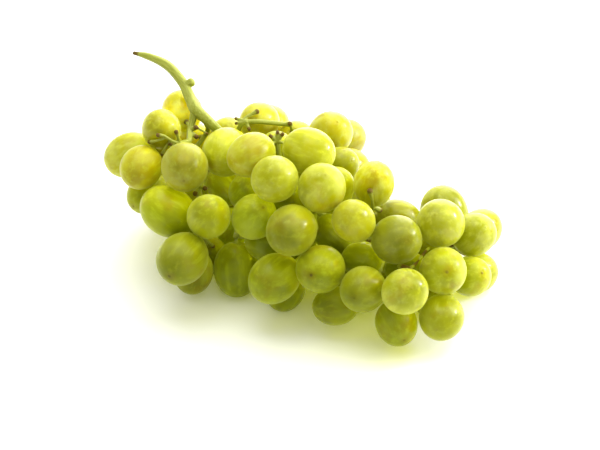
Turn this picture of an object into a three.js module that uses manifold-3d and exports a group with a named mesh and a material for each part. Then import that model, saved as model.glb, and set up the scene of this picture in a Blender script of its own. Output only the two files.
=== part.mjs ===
// A bunch of white table grapes, cut from the vine and laid down. Millimetres, +Z up. The bunch
// lies on Z = 0 and runs along X, from its cut stalk at -X to its tip at +X.
import * as THREE from 'three';
import { mergeVertices } from 'three/addons/utils/BufferGeometryUtils.js';
import Module from 'manifold-3d';

const wasm = await Module();
wasm.setup();

// ---- Where places are measured from --------------------------------------------------------
// A place is [across, up, near]: across and up lie in a plane through CENTRE that is seen at a
// slant from EYE_DISTANCE away, and near is how far the place stands out of it, towards the eye.
const SLANT = THREE.MathUtils.degToRad(36);
const TURN = THREE.MathUtils.degToRad(-22);
const EYE_DISTANCE = 700;
const CENTRE = new THREE.Vector3(6.08, -13.63, 36);

const looking = new THREE.Vector3(
  Math.sin(TURN) * Math.cos(SLANT), Math.cos(TURN) * Math.cos(SLANT), -Math.sin(SLANT));
const ACROSS = new THREE.Vector3(Math.cos(TURN), -Math.sin(TURN), 0);
const UP = new THREE.Vector3().crossVectors(ACROSS, looking);
const NEAR = looking.clone().negate();

// ---- Berries --------------------------------------------------------------------------------
const LENGTH_TO_WIDTH = 1.21;
const CLEARANCE = 0.5;             // left between neighbouring berries and stems
const FLATTENED = 0.9;             // how far a berry's underside is pressed flat by the surface
const BERRY_DETAIL = 1;

// ---- Stems, as radii ------------------------------------------------------------------------
const TWIG_START = 2.3;            // how far from the main stem's middle a twig's own room begins
const STALK_SLACK = 0.3;           // kept beside the stalk, past its radius
const TWIG = 1.25;
const PEDICEL = 0.8;
const PEDICEL_FLARE = 1.25;        // where the pedicel widens into the berry
const PEDICEL_ROOT = 2.5;          // how far the pedicel is sunk into the berry
const PEDICEL_END = 0.85;          // where it ends for its neighbours, as a share of halfLength
const SHORTEST_PEDICEL = 3;
const PEDICEL_CLEAR = 0.4;         // the share of its way to a berry's middle left out of checks
const KNOT = 1.7;
const NODE_GAP = 0.35;

// The cut stalk, from its dry tip to the fork: [across, up, near, radius].
const STALK = [
  [-83, 86, -30, 1],
  [-75, 84, -28, 2],
  [-66, 79.5, -26, 2.6],
  [-59, 71.5, -24, 2.7],
  [-55, 63.5, -21, 3],
];
const STALK_KNOB = [-54.2, 71.5, -22.5, 2.2];

// The main stem inside the bunch, from the fork to the tip: [across, up, near, radius].
const RACHIS = [
  [-52.3, 58, -18, 3.3],
  [-47, 53, -17, 2.8],
  [-40.5, 47, -20, 2.4],
  [-34, 41.5, -21, 2.2],
  [-25, 33.5, -17, 2],
  [-10, 20, -11, 2],
  [10, 5.5, -7, 1.9],
  [30, -6.5, -2, 1.8],
  [47.5, -14.5, -6, 1.6],
  [62, -15.5, -14, 1.4],
];

// Each side spray leaves the main stem at a place counted along RACHIS, and its twig passes
// through its knots. Berries are [across, up, near, width]; those that lie behind are filled in.
const SPRAYS = [
  {
    name: 'shoulder_spray',
    leavesAt: 0,
    twigRadius: 1.5,
    knots: [[-55, 47.5, -17], [-56.8, 41, -9], [-70, 42.5, -18]],
    berries: [
      [-84.5, 35, -19, 21.5],
      [-79.2, 28.8, 2, 20.5],
      [-68.5, 47.3, -8, 19],
      [-67.5, 37.5, -34, 19],
      [-56.6, 28.6, 6, 23],
      [-59, 57, -34, 20],
    ],
  },
  {
    name: 'shoulder_back_spray',
    leavesAt: 1,
    knots: [[-47, 45.5, -34], [-60, 30, -30]],
    berries: [
      [-53.5, 41.5, -48, 19.5],
      [-76, 16, -13, 19.5],
    ],
  },
  {
    name: 'left_low_spray',
    leavesAt: 2,
    knots: [[-46.5, 30, -14], [-50.5, 20, -3], [-49, -4, 0]],
    berries: [
      [-64.4, 5.4, 7, 24.5],
      [-43.6, 4.2, 17, 21.3],
      [-58.5, -15.2, 9, 24.5],
      [-50.5, -22.5, -12, 19],
      [-46, -14, -20, 18],
      [-56, -2, -16, 18],
      [-39, 20, -18, 18],
    ],
  },
  {
    name: 'top_left_spray',
    leavesAt: 2.6,
    knots: [[-32, 44, -19], [-27, 51.5, -10], [-5, 50.3, -16]],
    berries: [
      [-37, 36.5, -2, 23.5],
      [-35.5, 44, -38, 20],
      [-20.3, 51.6, -22, 19],
      [-15.5, 50.5, -41, 20],
      [-1.5, 43, -27, 19],
    ],
  },
  {
    name: 'under_left_spray',
    leavesAt: 3.5,
    knots: [[-39, 23.5, -42]],
    berries: [],
  },
  {
    name: 'top_middle_spray',
    leavesAt: 4.8,
    knots: [[-9.5, 27.5, 2], [-11.5, 42, 6]],
    berries: [
      [-24.5, 35, 15, 21.5],
      [4.5, 36.5, 15, 23],
      [-12.5, 23, 29, 23],
      [-11.5, 38, -9, 17],
    ],
  },
  {
    name: 'middle_left_spray',
    leavesAt: 4.4,
    knots: [[-30, 9.5, -12], [-32, -5.5, -6]],
    berries: [
      [-24, 3.5, 17, 22],
      [-26.5, 16.5, 0, 18],
      [-33, -21.5, -11, 23],
      [-17.5, -9, 4, 18],
      [-34, -2, -26, 18],
    ],
  },
  {
    name: 'under_middle_spray',
    leavesAt: 5.2,
    knots: [[-8, 6.5, -34]],
    berries: [],
  },
  {
    name: 'middle_spray',
    leavesAt: 5.6,
    knots: [[-2, 9, 0], [7, 5.5, 8]],
    berries: [
      [11, 18.5, 29, 23.5],
      [16.5, 15.5, 7, 20],
      [-4.5, -2, 30, 24.5],
      [-4, 11, 12, 18],
      [14.5, -1.5, 8, 18],
    ],
  },
  {
    name: 'back_right_spray',
    leavesAt: 5.9,
    knots: [[11, 26.5, -18], [9, 36.5, -36]],
    berries: [
      [15, 43.2, -22, 21.5],
      [22, 42.5, -44, 20],
      [19, 30, -2, 18],
      [23.5, 29.5, -28, 20],
    ],
  },
  {
    name: 'low_middle_spray',
    leavesAt: 6.3,
    knots: [[1, -15.5, 6], [18.5, -16.5, 6]],
    berries: [
      [-12, -26.7, 22, 24],
      [-7, -31.5, -1, 19],
      [10, -22.5, 27, 23.5],
      [28, -16.5, 16, 18],
    ],
  },
  {
    name: 'top_right_spray',
    leavesAt: 7,
    knots: [[35, 5.5, 4], [38, -7.5, 8]],
    berries: [
      [34.8, 20.2, 12, 20],
      [28, 1.5, 34, 20.7],
      [48.5, -7, 26, 24],
      [49, 2, 4, 21.5],
    ],
  },
  {
    name: 'under_right_spray',
    leavesAt: 7.4,
    knots: [[25, -7.5, -24]],
    berries: [],
  },
  {
    name: 'low_right_spray',
    leavesAt: 7.8,
    knots: [[40, -23.5, 12], [43, -37.5, 14]],
    berries: [
      [32, -30, 29, 22],
      [19, -38.5, 11, 19],
      [50.5, -34, 42, 22.5],
      [48, -46.5, 24, 20.5],
      [50, -21.5, 14, 17],
    ],
  },
  {
    name: 'low_tip_spray',
    leavesAt: 8.6,
    knots: [[67, -21.5, -4], [77.5, -28, -2]],
    berries: [
      [70.5, -21.5, 27, 23],
      [84.5, -23, 9, 19.5],
      [88, -24, -12, 19.5],
      [67.5, -46.5, 22, 21.5],
      [70.5, -35.5, 8, 17],
    ],
  },
  {
    name: 'tip_spray',
    leavesAt: 9,
    knots: [[77.5, -11, -8]],
    berries: [
      [69.7, -1.6, 22, 23.4],
      [73.7, 4.8, 0, 23.5],
      [84.5, -6.8, 11, 21],
      [89.6, -2.4, -18, 20.5],
      [63, -10, 4, 18],
    ],
  },
];

// ---- Filling in behind ----------------------------------------------------------------------
// Round each knot, berries are tried in DIRECTIONS directions at each [distance, spacing].
const FILL_SEED = 4711;
const DRAW_FACTOR = 16807;
const DRAW_RANGE = 2147483647;
const FILL_ROUNDS = [[19, 18.5], [24, 19], [29, 19.5]];
const DIRECTIONS = 34;
const GOLDEN_TURN = 2.399963;
const FILL_WIDTH = 20.5;
const FILL_WIDTH_RANGE = 2;
const LOWEST_CENTRE = 10.3;
const KNOT_ROOM = 15.5;            // kept between a filled-in berry's middle and every knot
const FARTHEST_KNOT = 31;
const BEHIND = 7;
const BEHIND_REACH = 19;
const OUTLINE_SLACK = 1.12;
const OUTLINE_POINTS = 8;
const STEM_ROOM = 0.9;

// ---- Settling -------------------------------------------------------------------------------
const SETTLE_STEPS = 240;
const SETTLE_FADE = 0.8;           // the share of the steps over which the pull home fades
const LONGEST_STEP = 1.5;

// A random number from 0 to 1, the same each time the part is built.
let drawn = FILL_SEED;
function draw() {
  drawn = (drawn * DRAW_FACTOR) % DRAW_RANGE;
  return drawn / DRAW_RANGE;
}

function place([across, up, near]) {
  const inPlane = (EYE_DISTANCE - near) / EYE_DISTANCE;
  return CENTRE.clone()
    .addScaledVector(ACROSS, across * inPlane)
    .addScaledVector(UP, up * inPlane)
    .addScaledVector(NEAR, near);
}

function measure(point) {
  const offset = point.clone().sub(CENTRE);
  const near = offset.dot(NEAR);
  const inPlane = (EYE_DISTANCE - near) / EYE_DISTANCE;
  return { across: offset.dot(ACROSS) / inPlane, up: offset.dot(UP) / inPlane, near };
}

// One berry: an ellipsoid whose long axis points away from the knot that its pedicel grows from.
class Berry {
  constructor(spray, knot, centre, width, shown) {
    this.spray = spray;
    this.knot = knot;
    this.centre = centre;
    this.home = centre.clone();
    this.halfWidth = width / 2;
    this.halfLength = this.halfWidth * LENGTH_TO_WIDTH;
    this.shown = shown;
    this.seen = measure(centre);
    this.aim();
  }

  aim() {
    this.axis = this.centre.clone().sub(this.knot);
    this.reach = this.axis.length();
    this.axis.divideScalar(this.reach);
  }

  // How far its surface stands from its centre, towards a direction.
  extent(direction) {
    const along = this.axis.dot(direction);
    const acrossSquared = Math.max(0, 1 - along * along);
    return Math.sqrt((this.halfLength * along) ** 2 + this.halfWidth ** 2 * acrossSquared);
  }

  pedicel() {
    const end = this.centre.clone().addScaledVector(this.axis, -this.halfLength * PEDICEL_END);
    return new THREE.Line3(this.knot, end);
  }
}

function nearestOnLine(line, point) {
  const along = line.delta(new THREE.Vector3());
  const share = point.clone().sub(line.start).dot(along) / Math.max(along.lengthSq(), 1e-9);
  return THREE.MathUtils.clamp(share, 0, 1);
}

function gapBetweenLines(a, b) {
  const alongA = a.delta(new THREE.Vector3());
  const alongB = b.delta(new THREE.Vector3());
  const between = a.start.clone().sub(b.start);
  const lengthA = alongA.lengthSq();
  const lengthB = alongB.lengthSq();
  const tilt = alongA.dot(alongB);
  const fromA = alongA.dot(between);
  const fromB = alongB.dot(between);
  const spread = lengthA * lengthB - tilt * tilt;
  let onA = spread > 1e-9 ? THREE.MathUtils.clamp((tilt * fromB - fromA * lengthB) / spread, 0, 1) : 0;
  let onB = (tilt * onA + fromB) / lengthB;
  if (onB < 0) {
    onB = 0;
    onA = THREE.MathUtils.clamp(-fromA / lengthA, 0, 1);
  } else if (onB > 1) {
    onB = 1;
    onA = THREE.MathUtils.clamp((tilt - fromA) / lengthA, 0, 1);
  }
  return a.at(onA, new THREE.Vector3()).distanceTo(b.at(onB, new THREE.Vector3()));
}

// ---- The plan of the bunch ------------------------------------------------------------------
const rachisPath = RACHIS.map(place);
const stems = [];                  // every length of stem: its spray, line and radius
const knots = [];
const berries = [];

function alongRachis(count) {
  const first = Math.min(Math.floor(count), RACHIS.length - 2);
  return rachisPath[first].clone().lerp(rachisPath[first + 1], count - first);
}

function addStem(spray, from, to, radius) {
  stems.push({ spray, line: new THREE.Line3(from, to), radius });
}

for (const places of [RACHIS, [...STALK, RACHIS[0]]]) {
  for (let i = 0; i + 1 < places.length; i++) {
    const radius = Math.max(places[i][3], places[i + 1][3]) + STALK_SLACK;
    addStem('stalk', place(places[i]), place(places[i + 1]), radius);
  }
}

for (const spray of SPRAYS) {
  const root = alongRachis(spray.leavesAt);
  const sprayKnots = spray.knots.map(place);
  const outwards = sprayKnots[0].clone().sub(root).normalize();
  const outside = root.clone().addScaledVector(outwards, TWIG_START + NODE_GAP);
  spray.twigRadius ??= TWIG;
  spray.twig = [root, ...sprayKnots];
  sprayKnots.forEach((knot, i) => {
    addStem(spray.name, i === 0 ? outside : sprayKnots[i - 1], knot, spray.twigRadius);
    knots.push({ spray: spray.name, point: knot });
  });
}
const fixedStems = [...stems];

for (const spray of SPRAYS) {
  for (const [across, up, near, width] of spray.berries) {
    const centre = place([across, up, near]);
    const byDistance = (a, b) => a.distanceTo(centre) - b.distanceTo(centre);
    const knot = spray.twig.slice(1).sort(byDistance)[0];
    const trueWidth = (width * (EYE_DISTANCE - near)) / EYE_DISTANCE;
    berries.push(new Berry(spray.name, knot, centre, trueWidth, true));
    addStem(spray.name, knot, centre.clone().lerp(knot, PEDICEL_CLEAR), PEDICEL);
  }
}
const shownBerries = [...berries];

// Whether a berry here would hide behind those that show, and inside their common outline.
function liesBehind(centre, halfWidth) {
  const { across, up, near } = measure(centre);
  const hidesOne = shownBerries.some(({ seen }) =>
    near > seen.near - BEHIND && Math.hypot(across - seen.across, up - seen.up) < BEHIND_REACH);
  if (hidesOne) return false;
  for (let i = 0; i < OUTLINE_POINTS; i++) {
    const turn = (i * 2 * Math.PI) / OUTLINE_POINTS;
    const edgeAcross = across + halfWidth * Math.cos(turn);
    const edgeUp = up + halfWidth * Math.sin(turn);
    const covered = shownBerries.some(({ seen, halfWidth: cover }) =>
      Math.hypot(edgeAcross - seen.across, edgeUp - seen.up) < cover * OUTLINE_SLACK);
    if (!covered) return false;
  }
  return true;
}

// The nearest knot that a pedicel reaches without crossing another spray's stems.
function freeKnot(centre) {
  const ordered = [...knots].sort((a, b) => a.point.distanceTo(centre) - b.point.distanceTo(centre));
  for (const knot of ordered) {
    if (knot.point.distanceTo(centre) > FARTHEST_KNOT) return null;
    const pedicel = new THREE.Line3(knot.point, centre.clone().lerp(knot.point, PEDICEL_CLEAR));
    const crossed = stems.some((stem) =>
      stem.spray !== knot.spray
      && gapBetweenLines(pedicel, stem.line) <= stem.radius + PEDICEL + STEM_ROOM);
    if (!crossed) return knot;
  }
  return null;
}

function fillBehind(distance, spacing) {
  for (const { point } of knots) {
    const phase = draw() * 2 * Math.PI;
    for (let i = 0; i < DIRECTIONS; i++) {
      const height = 1 - (2 * (i + 0.5)) / DIRECTIONS;
      const flat = Math.sqrt(1 - height * height);
      const turn = phase + i * GOLDEN_TURN;
      const offset = new THREE.Vector3(flat * Math.cos(turn), flat * Math.sin(turn), height);
      const centre = point.clone().addScaledVector(offset, distance);
      const width = FILL_WIDTH + FILL_WIDTH_RANGE * draw();
      if (centre.z < 0) continue;
      centre.z = Math.max(centre.z, LOWEST_CENTRE);
      if (berries.some((berry) => berry.centre.distanceTo(centre) < spacing)) continue;
      if (knots.some((knot) => knot.point.distanceTo(centre) < KNOT_ROOM)) continue;
      if (!liesBehind(centre, width / 2)) continue;
      const knot = freeKnot(centre);
      if (!knot) continue;
      addStem(knot.spray, knot.point, centre.clone().lerp(knot.point, PEDICEL_CLEAR), PEDICEL);
      berries.push(new Berry(knot.spray, knot.point, centre, width, false));
    }
  }
}
for (const [distance, spacing] of FILL_ROUNDS) fillBehind(distance, spacing);

// ---- Settling the berries against each other, the stems and the surface ----------------------
// Berries that show give way mostly towards or away from the eye, the others to all sides.
const GIVE_SHOWN = 0.4;
const GIVE_BEHIND = 0.8;
const HOME_SHOWN = 0.25;
const HOME_BEHIND = 0.1;
const HOME_DEPTH = 0.06;
const SHARE_SHOWN = 0.3;
const HALF = 0.5;
const SURFACE_PUSH = 0.7;

function settleStep(pull) {
  const moves = berries.map(() => new THREE.Vector3());
  const direction = new THREE.Vector3();

  for (let i = 0; i < berries.length; i++) {
    for (let j = i + 1; j < berries.length; j++) {
      const first = berries[i];
      const second = berries[j];
      direction.subVectors(second.centre, first.centre);
      const apart = direction.length();
      direction.divideScalar(apart);
      const overlap = first.extent(direction) + second.extent(direction) + CLEARANCE - apart;
      if (overlap <= 0) continue;
      let share = HALF;
      if (first.shown && !second.shown) share = SHARE_SHOWN;
      if (!first.shown && second.shown) share = 1 - SHARE_SHOWN;
      moves[i].addScaledVector(direction, -overlap * share);
      moves[j].addScaledVector(direction, overlap * (1 - share));
    }
  }

  const obstacles = fixedStems.map((stem) => ({ ...stem, owner: -1 }));
  berries.forEach((berry, owner) => obstacles.push({ line: berry.pedicel(), radius: PEDICEL, owner }));
  berries.forEach((berry, i) => {
    for (const { line, radius, owner } of obstacles) {
      if (owner === i) continue;
      const share = nearestOnLine(line, berry.centre);
      direction.subVectors(berry.centre, line.at(share, new THREE.Vector3()));
      const apart = direction.length();
      direction.divideScalar(Math.max(apart, 1e-6));
      const overlap = berry.extent(direction) + radius + CLEARANCE - apart;
      if (overlap <= 0) continue;
      moves[i].addScaledVector(direction, overlap * HALF);
      if (owner >= 0) moves[owner].addScaledVector(direction, -overlap * share * HALF);
    }
    const tooNear = berry.halfLength + SHORTEST_PEDICEL - berry.reach;
    if (tooNear > 0) moves[i].addScaledVector(berry.axis, tooNear * HALF);
    const underside = berry.centre.z - berry.extent(new THREE.Vector3(0, 0, 1));
    if (underside < -FLATTENED) moves[i].z += (-FLATTENED - underside) * SURFACE_PUSH;
  });

  berries.forEach((berry, i) => {
    const home = berry.home.clone().sub(berry.centre);
    const homeDepth = home.dot(NEAR);
    const moveDepth = moves[i].dot(NEAR);
    const give = berry.shown ? GIVE_SHOWN : GIVE_BEHIND;
    const homePull = (berry.shown ? HOME_SHOWN : HOME_BEHIND) * pull;
    const depthPull = (berry.shown ? HOME_DEPTH : 0) * pull;
    const move = moves[i].clone().addScaledVector(NEAR, -moveDepth).multiplyScalar(give);
    move.addScaledVector(NEAR, moveDepth + homeDepth * depthPull);
    move.addScaledVector(home.addScaledVector(NEAR, -homeDepth), homePull);
    berry.centre.add(move.clampLength(0, LONGEST_STEP));
    berry.aim();
  });
}

for (let step = 0; step < SETTLE_STEPS; step++) {
  settleStep(Math.max(0, 1 - step / (SETTLE_STEPS * SETTLE_FADE)));
}

// ---- Solids ---------------------------------------------------------------------------------
const TWIG_SIDES = 5;
const PEDICEL_SIDES = 4;
const STALK_SIDES = 8;
const STALK_STEPS = 3;             // lengths of tube between two places of the stalk
const ALONG = new THREE.Vector3(0, 1, 0);
const FACET = new THREE.Vector3(1, 1, 1).normalize();

function toSolid(geometry) {
  geometry.deleteAttribute('normal');
  geometry.deleteAttribute('uv');
  const welded = mergeVertices(geometry, 1e-4);
  return new wasm.Manifold(new wasm.Mesh({
    numProp: 3,
    vertProperties: welded.attributes.position.array,
    triVerts: new Uint32Array(welded.index.array),
  }));
}

function toGeometry(solid) {
  const { vertProperties, triVerts } = solid.getMesh();
  const geometry = new THREE.BufferGeometry();
  geometry.setAttribute('position', new THREE.BufferAttribute(vertProperties, 3));
  geometry.setIndex(new THREE.BufferAttribute(triVerts, 1));
  const faceted = geometry.toNonIndexed();
  faceted.computeVertexNormals();
  return faceted;
}

function aimed(geometry, direction, at) {
  geometry.applyQuaternion(new THREE.Quaternion().setFromUnitVectors(ALONG, direction));
  return geometry.translate(at.x, at.y, at.z);
}

// A facet, not a corner, faces the pedicel, so that the pedicel enters through one flat face.
function berrySolid(berry) {
  const geometry = new THREE.IcosahedronGeometry(1, BERRY_DETAIL);
  geometry.applyQuaternion(new THREE.Quaternion().setFromUnitVectors(FACET, ALONG));
  geometry.scale(berry.halfWidth, berry.halfLength, berry.halfWidth);
  const whole = toSolid(aimed(geometry, berry.axis, berry.centre));
  return whole.trimByPlane([0, 0, 1], 0);
}

function rodSolid(from, to, fromRadius, toRadius, sides) {
  const direction = to.clone().sub(from);
  const length = direction.length();
  const geometry = new THREE.CylinderGeometry(toRadius, fromRadius, length, sides);
  const middle = from.clone().lerp(to, 0.5);
  return toSolid(aimed(geometry, direction.normalize(), middle));
}

function knotSolid(point, radius) {
  const geometry = new THREE.IcosahedronGeometry(radius);
  return toSolid(geometry.translate(point.x, point.y, point.z));
}

function pedicelSolid(berry) {
  const sunk = berry.centre.clone().addScaledVector(berry.axis, PEDICEL_ROOT - berry.halfLength);
  return rodSolid(berry.knot, sunk, PEDICEL, PEDICEL_FLARE, PEDICEL_SIDES);
}

// A cylinder bent along a smooth curve through the places, with a radius for each of them.
function bentStem(places) {
  const steps = (places.length - 1) * STALK_STEPS;
  const curve = new THREE.CatmullRomCurve3(places.map(place));
  const geometry = new THREE.CylinderGeometry(1, 1, 1, STALK_SIDES, steps);
  const corners = geometry.attributes.position;
  const rows = [];
  let side = new THREE.Vector3(0, 0, 1);
  for (let row = 0; row <= steps; row++) {
    const tangent = curve.getTangent(row / steps);
    side = side.clone().addScaledVector(tangent, -side.dot(tangent)).normalize();
    const first = Math.min(Math.floor(row / STALK_STEPS), places.length - 2);
    const share = row / STALK_STEPS - first;
    rows.push({
      middle: curve.getPoint(row / steps),
      side,
      other: new THREE.Vector3().crossVectors(tangent, side),
      radius: THREE.MathUtils.lerp(places[first][3], places[first + 1][3], share),
    });
  }
  for (let i = 0; i < corners.count; i++) {
    const { middle, side: sideways, other, radius } = rows[Math.round((0.5 - corners.getY(i)) * steps)];
    const corner = middle.clone()
      .addScaledVector(sideways, corners.getX(i) * radius)
      .addScaledVector(other, corners.getZ(i) * radius);
    corners.setXYZ(i, corner.x, corner.y, corner.z);
  }
  return toSolid(geometry);
}

function stalkSolid(grownBy) {
  const grown = ([across, up, near, radius]) => [across, up, near, radius + grownBy];
  const knob = knotSolid(place(STALK_KNOB), STALK_KNOB[3] + grownBy);
  return wasm.Manifold.union([bentStem([...STALK, ...RACHIS].map(grown)), knob]);
}

// Each twig stops at the stalk's side, NODE_GAP off it.
const stalkRoom = stalkSolid(NODE_GAP);

function spraySolid(spray) {
  const solids = [];
  spray.twig.slice(1).forEach((knot, i) => {
    solids.push(rodSolid(spray.twig[i], knot, spray.twigRadius, spray.twigRadius, TWIG_SIDES));
    solids.push(knotSolid(knot, KNOT));
  });
  for (const berry of berries.filter((one) => one.spray === spray.name)) {
    solids.push(berrySolid(berry), pedicelSolid(berry));
  }
  return wasm.Manifold.union(solids).subtract(stalkRoom);
}

// ---- The part -------------------------------------------------------------------------------
const grapeSkin = new THREE.MeshStandardMaterial({ color: 0xb4b53a, roughness: 0.35, metalness: 0 });
const greenStem = new THREE.MeshStandardMaterial({ color: 0x9aa34c, roughness: 0.6, metalness: 0 });
const bunch = new THREE.Group();

function addNode(name, solid, material) {
  const mesh = new THREE.Mesh(toGeometry(solid), material);
  mesh.name = name;
  bunch.add(mesh);
}

addNode('stalk', stalkSolid(0), greenStem);
for (const spray of SPRAYS) addNode(spray.name, spraySolid(spray), grapeSkin);

export default bunch;
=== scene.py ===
"""A bunch of white table grapes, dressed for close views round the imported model.

The plan of the bunch, which is where each berry, knot and stem lies, is the same one that its
solids follow. Lengths in the plan are millimetres and become metres in the meshes.
"""

import logging
import math
from collections.abc import Sequence
from dataclasses import dataclass, field
from enum import Enum
from typing import Any

import bpy
import numpy as np
from mathutils import Matrix, Vector


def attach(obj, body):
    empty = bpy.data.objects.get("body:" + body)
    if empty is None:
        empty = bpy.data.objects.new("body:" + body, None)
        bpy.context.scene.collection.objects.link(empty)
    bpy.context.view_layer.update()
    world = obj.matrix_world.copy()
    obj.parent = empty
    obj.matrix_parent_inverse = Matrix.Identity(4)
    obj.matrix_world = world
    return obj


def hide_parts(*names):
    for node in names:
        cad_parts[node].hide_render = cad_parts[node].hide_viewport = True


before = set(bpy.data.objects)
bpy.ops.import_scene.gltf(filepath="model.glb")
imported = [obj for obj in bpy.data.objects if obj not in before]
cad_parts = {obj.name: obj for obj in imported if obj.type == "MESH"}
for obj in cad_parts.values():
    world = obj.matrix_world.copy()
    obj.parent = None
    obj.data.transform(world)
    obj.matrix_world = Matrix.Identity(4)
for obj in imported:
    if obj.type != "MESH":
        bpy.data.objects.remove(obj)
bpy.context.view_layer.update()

log = logging.getLogger("grapes")
MM = 0.001

Array = np.ndarray
Span = tuple[float, float]
Place = tuple[float, float, float]
StemPlace = tuple[float, float, float, float]

TINY = 1e-9
GOLDEN_TURN = 2.399963
EVEN_SHARE = 0.5
UPWARDS = np.array([0.0, 0.0, 1.0])


# ---- the plan of the bunch --------------------------------------------------------------------


@dataclass(frozen=True)
class MeasuringPlane:
    """The slanted plane that places are measured in, as [across, up, near] from its centre."""

    slant: float = math.radians(36)
    turn: float = math.radians(-22)
    eye_distance: float = 700.0
    centre: Place = (6.08, -13.63, 36.0)

    @property
    def looking(self) -> Array:
        """The direction from the eye to the bunch."""
        flat = math.cos(self.slant)
        return np.array(
            [math.sin(self.turn) * flat, math.cos(self.turn) * flat, -math.sin(self.slant)]
        )

    @property
    def across(self) -> Array:
        """The direction across the plane."""
        return np.array([math.cos(self.turn), -math.sin(self.turn), 0.0])

    @property
    def up(self) -> Array:
        """The direction up the plane."""
        return np.cross(self.across, self.looking)

    def place(self, measured: Sequence[float]) -> Array:
        """Turns a measured place into a point.

        Args:
            measured: across, up and near, and any further numbers, which are left alone.

        Returns:
            The point in millimetres.
        """
        across, up, near = measured[:3]
        in_plane = (self.eye_distance - near) / self.eye_distance
        flat = self.across * across + self.up * up
        return np.array(self.centre) + flat * in_plane - self.looking * near

    def direction(self, towards: Place) -> Array:
        """A direction of length 1 given as across, up and near."""
        way = self.across * towards[0] + self.up * towards[1] - self.looking * towards[2]
        return way / np.linalg.norm(way)

    def measure(self, point: Array) -> Array:
        """Turns a point back into a measured place.

        Args:
            point: the point in millimetres.

        Returns:
            Across, up and near.
        """
        offset = point - np.array(self.centre)
        near = -float(offset @ self.looking)
        in_plane = (self.eye_distance - near) / self.eye_distance
        return np.array([offset @ self.across / in_plane, offset @ self.up / in_plane, near])


@dataclass(frozen=True)
class SprayPlan:
    """One side spray: where its twig leaves the main stem, its knots and the berries that show.

    Its ripeness runs from 0, green, to 1, yellow. Lightness says which of its berries are lighter
    or darker than the rest, partly their own tone and partly painted light and shade. A berry's
    fourth number is its width, and twig is a radius.
    """

    name: str
    leaves_at: float
    knots: tuple[Place, ...]
    berries: tuple[StemPlace, ...] = ()
    twig: float = 1.25
    ripeness: float = 0.35
    lightness: dict[int, float] = field(default_factory=dict)


# Each spray's lightness is partly its berries' own tone and partly painted light and shade.
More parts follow.
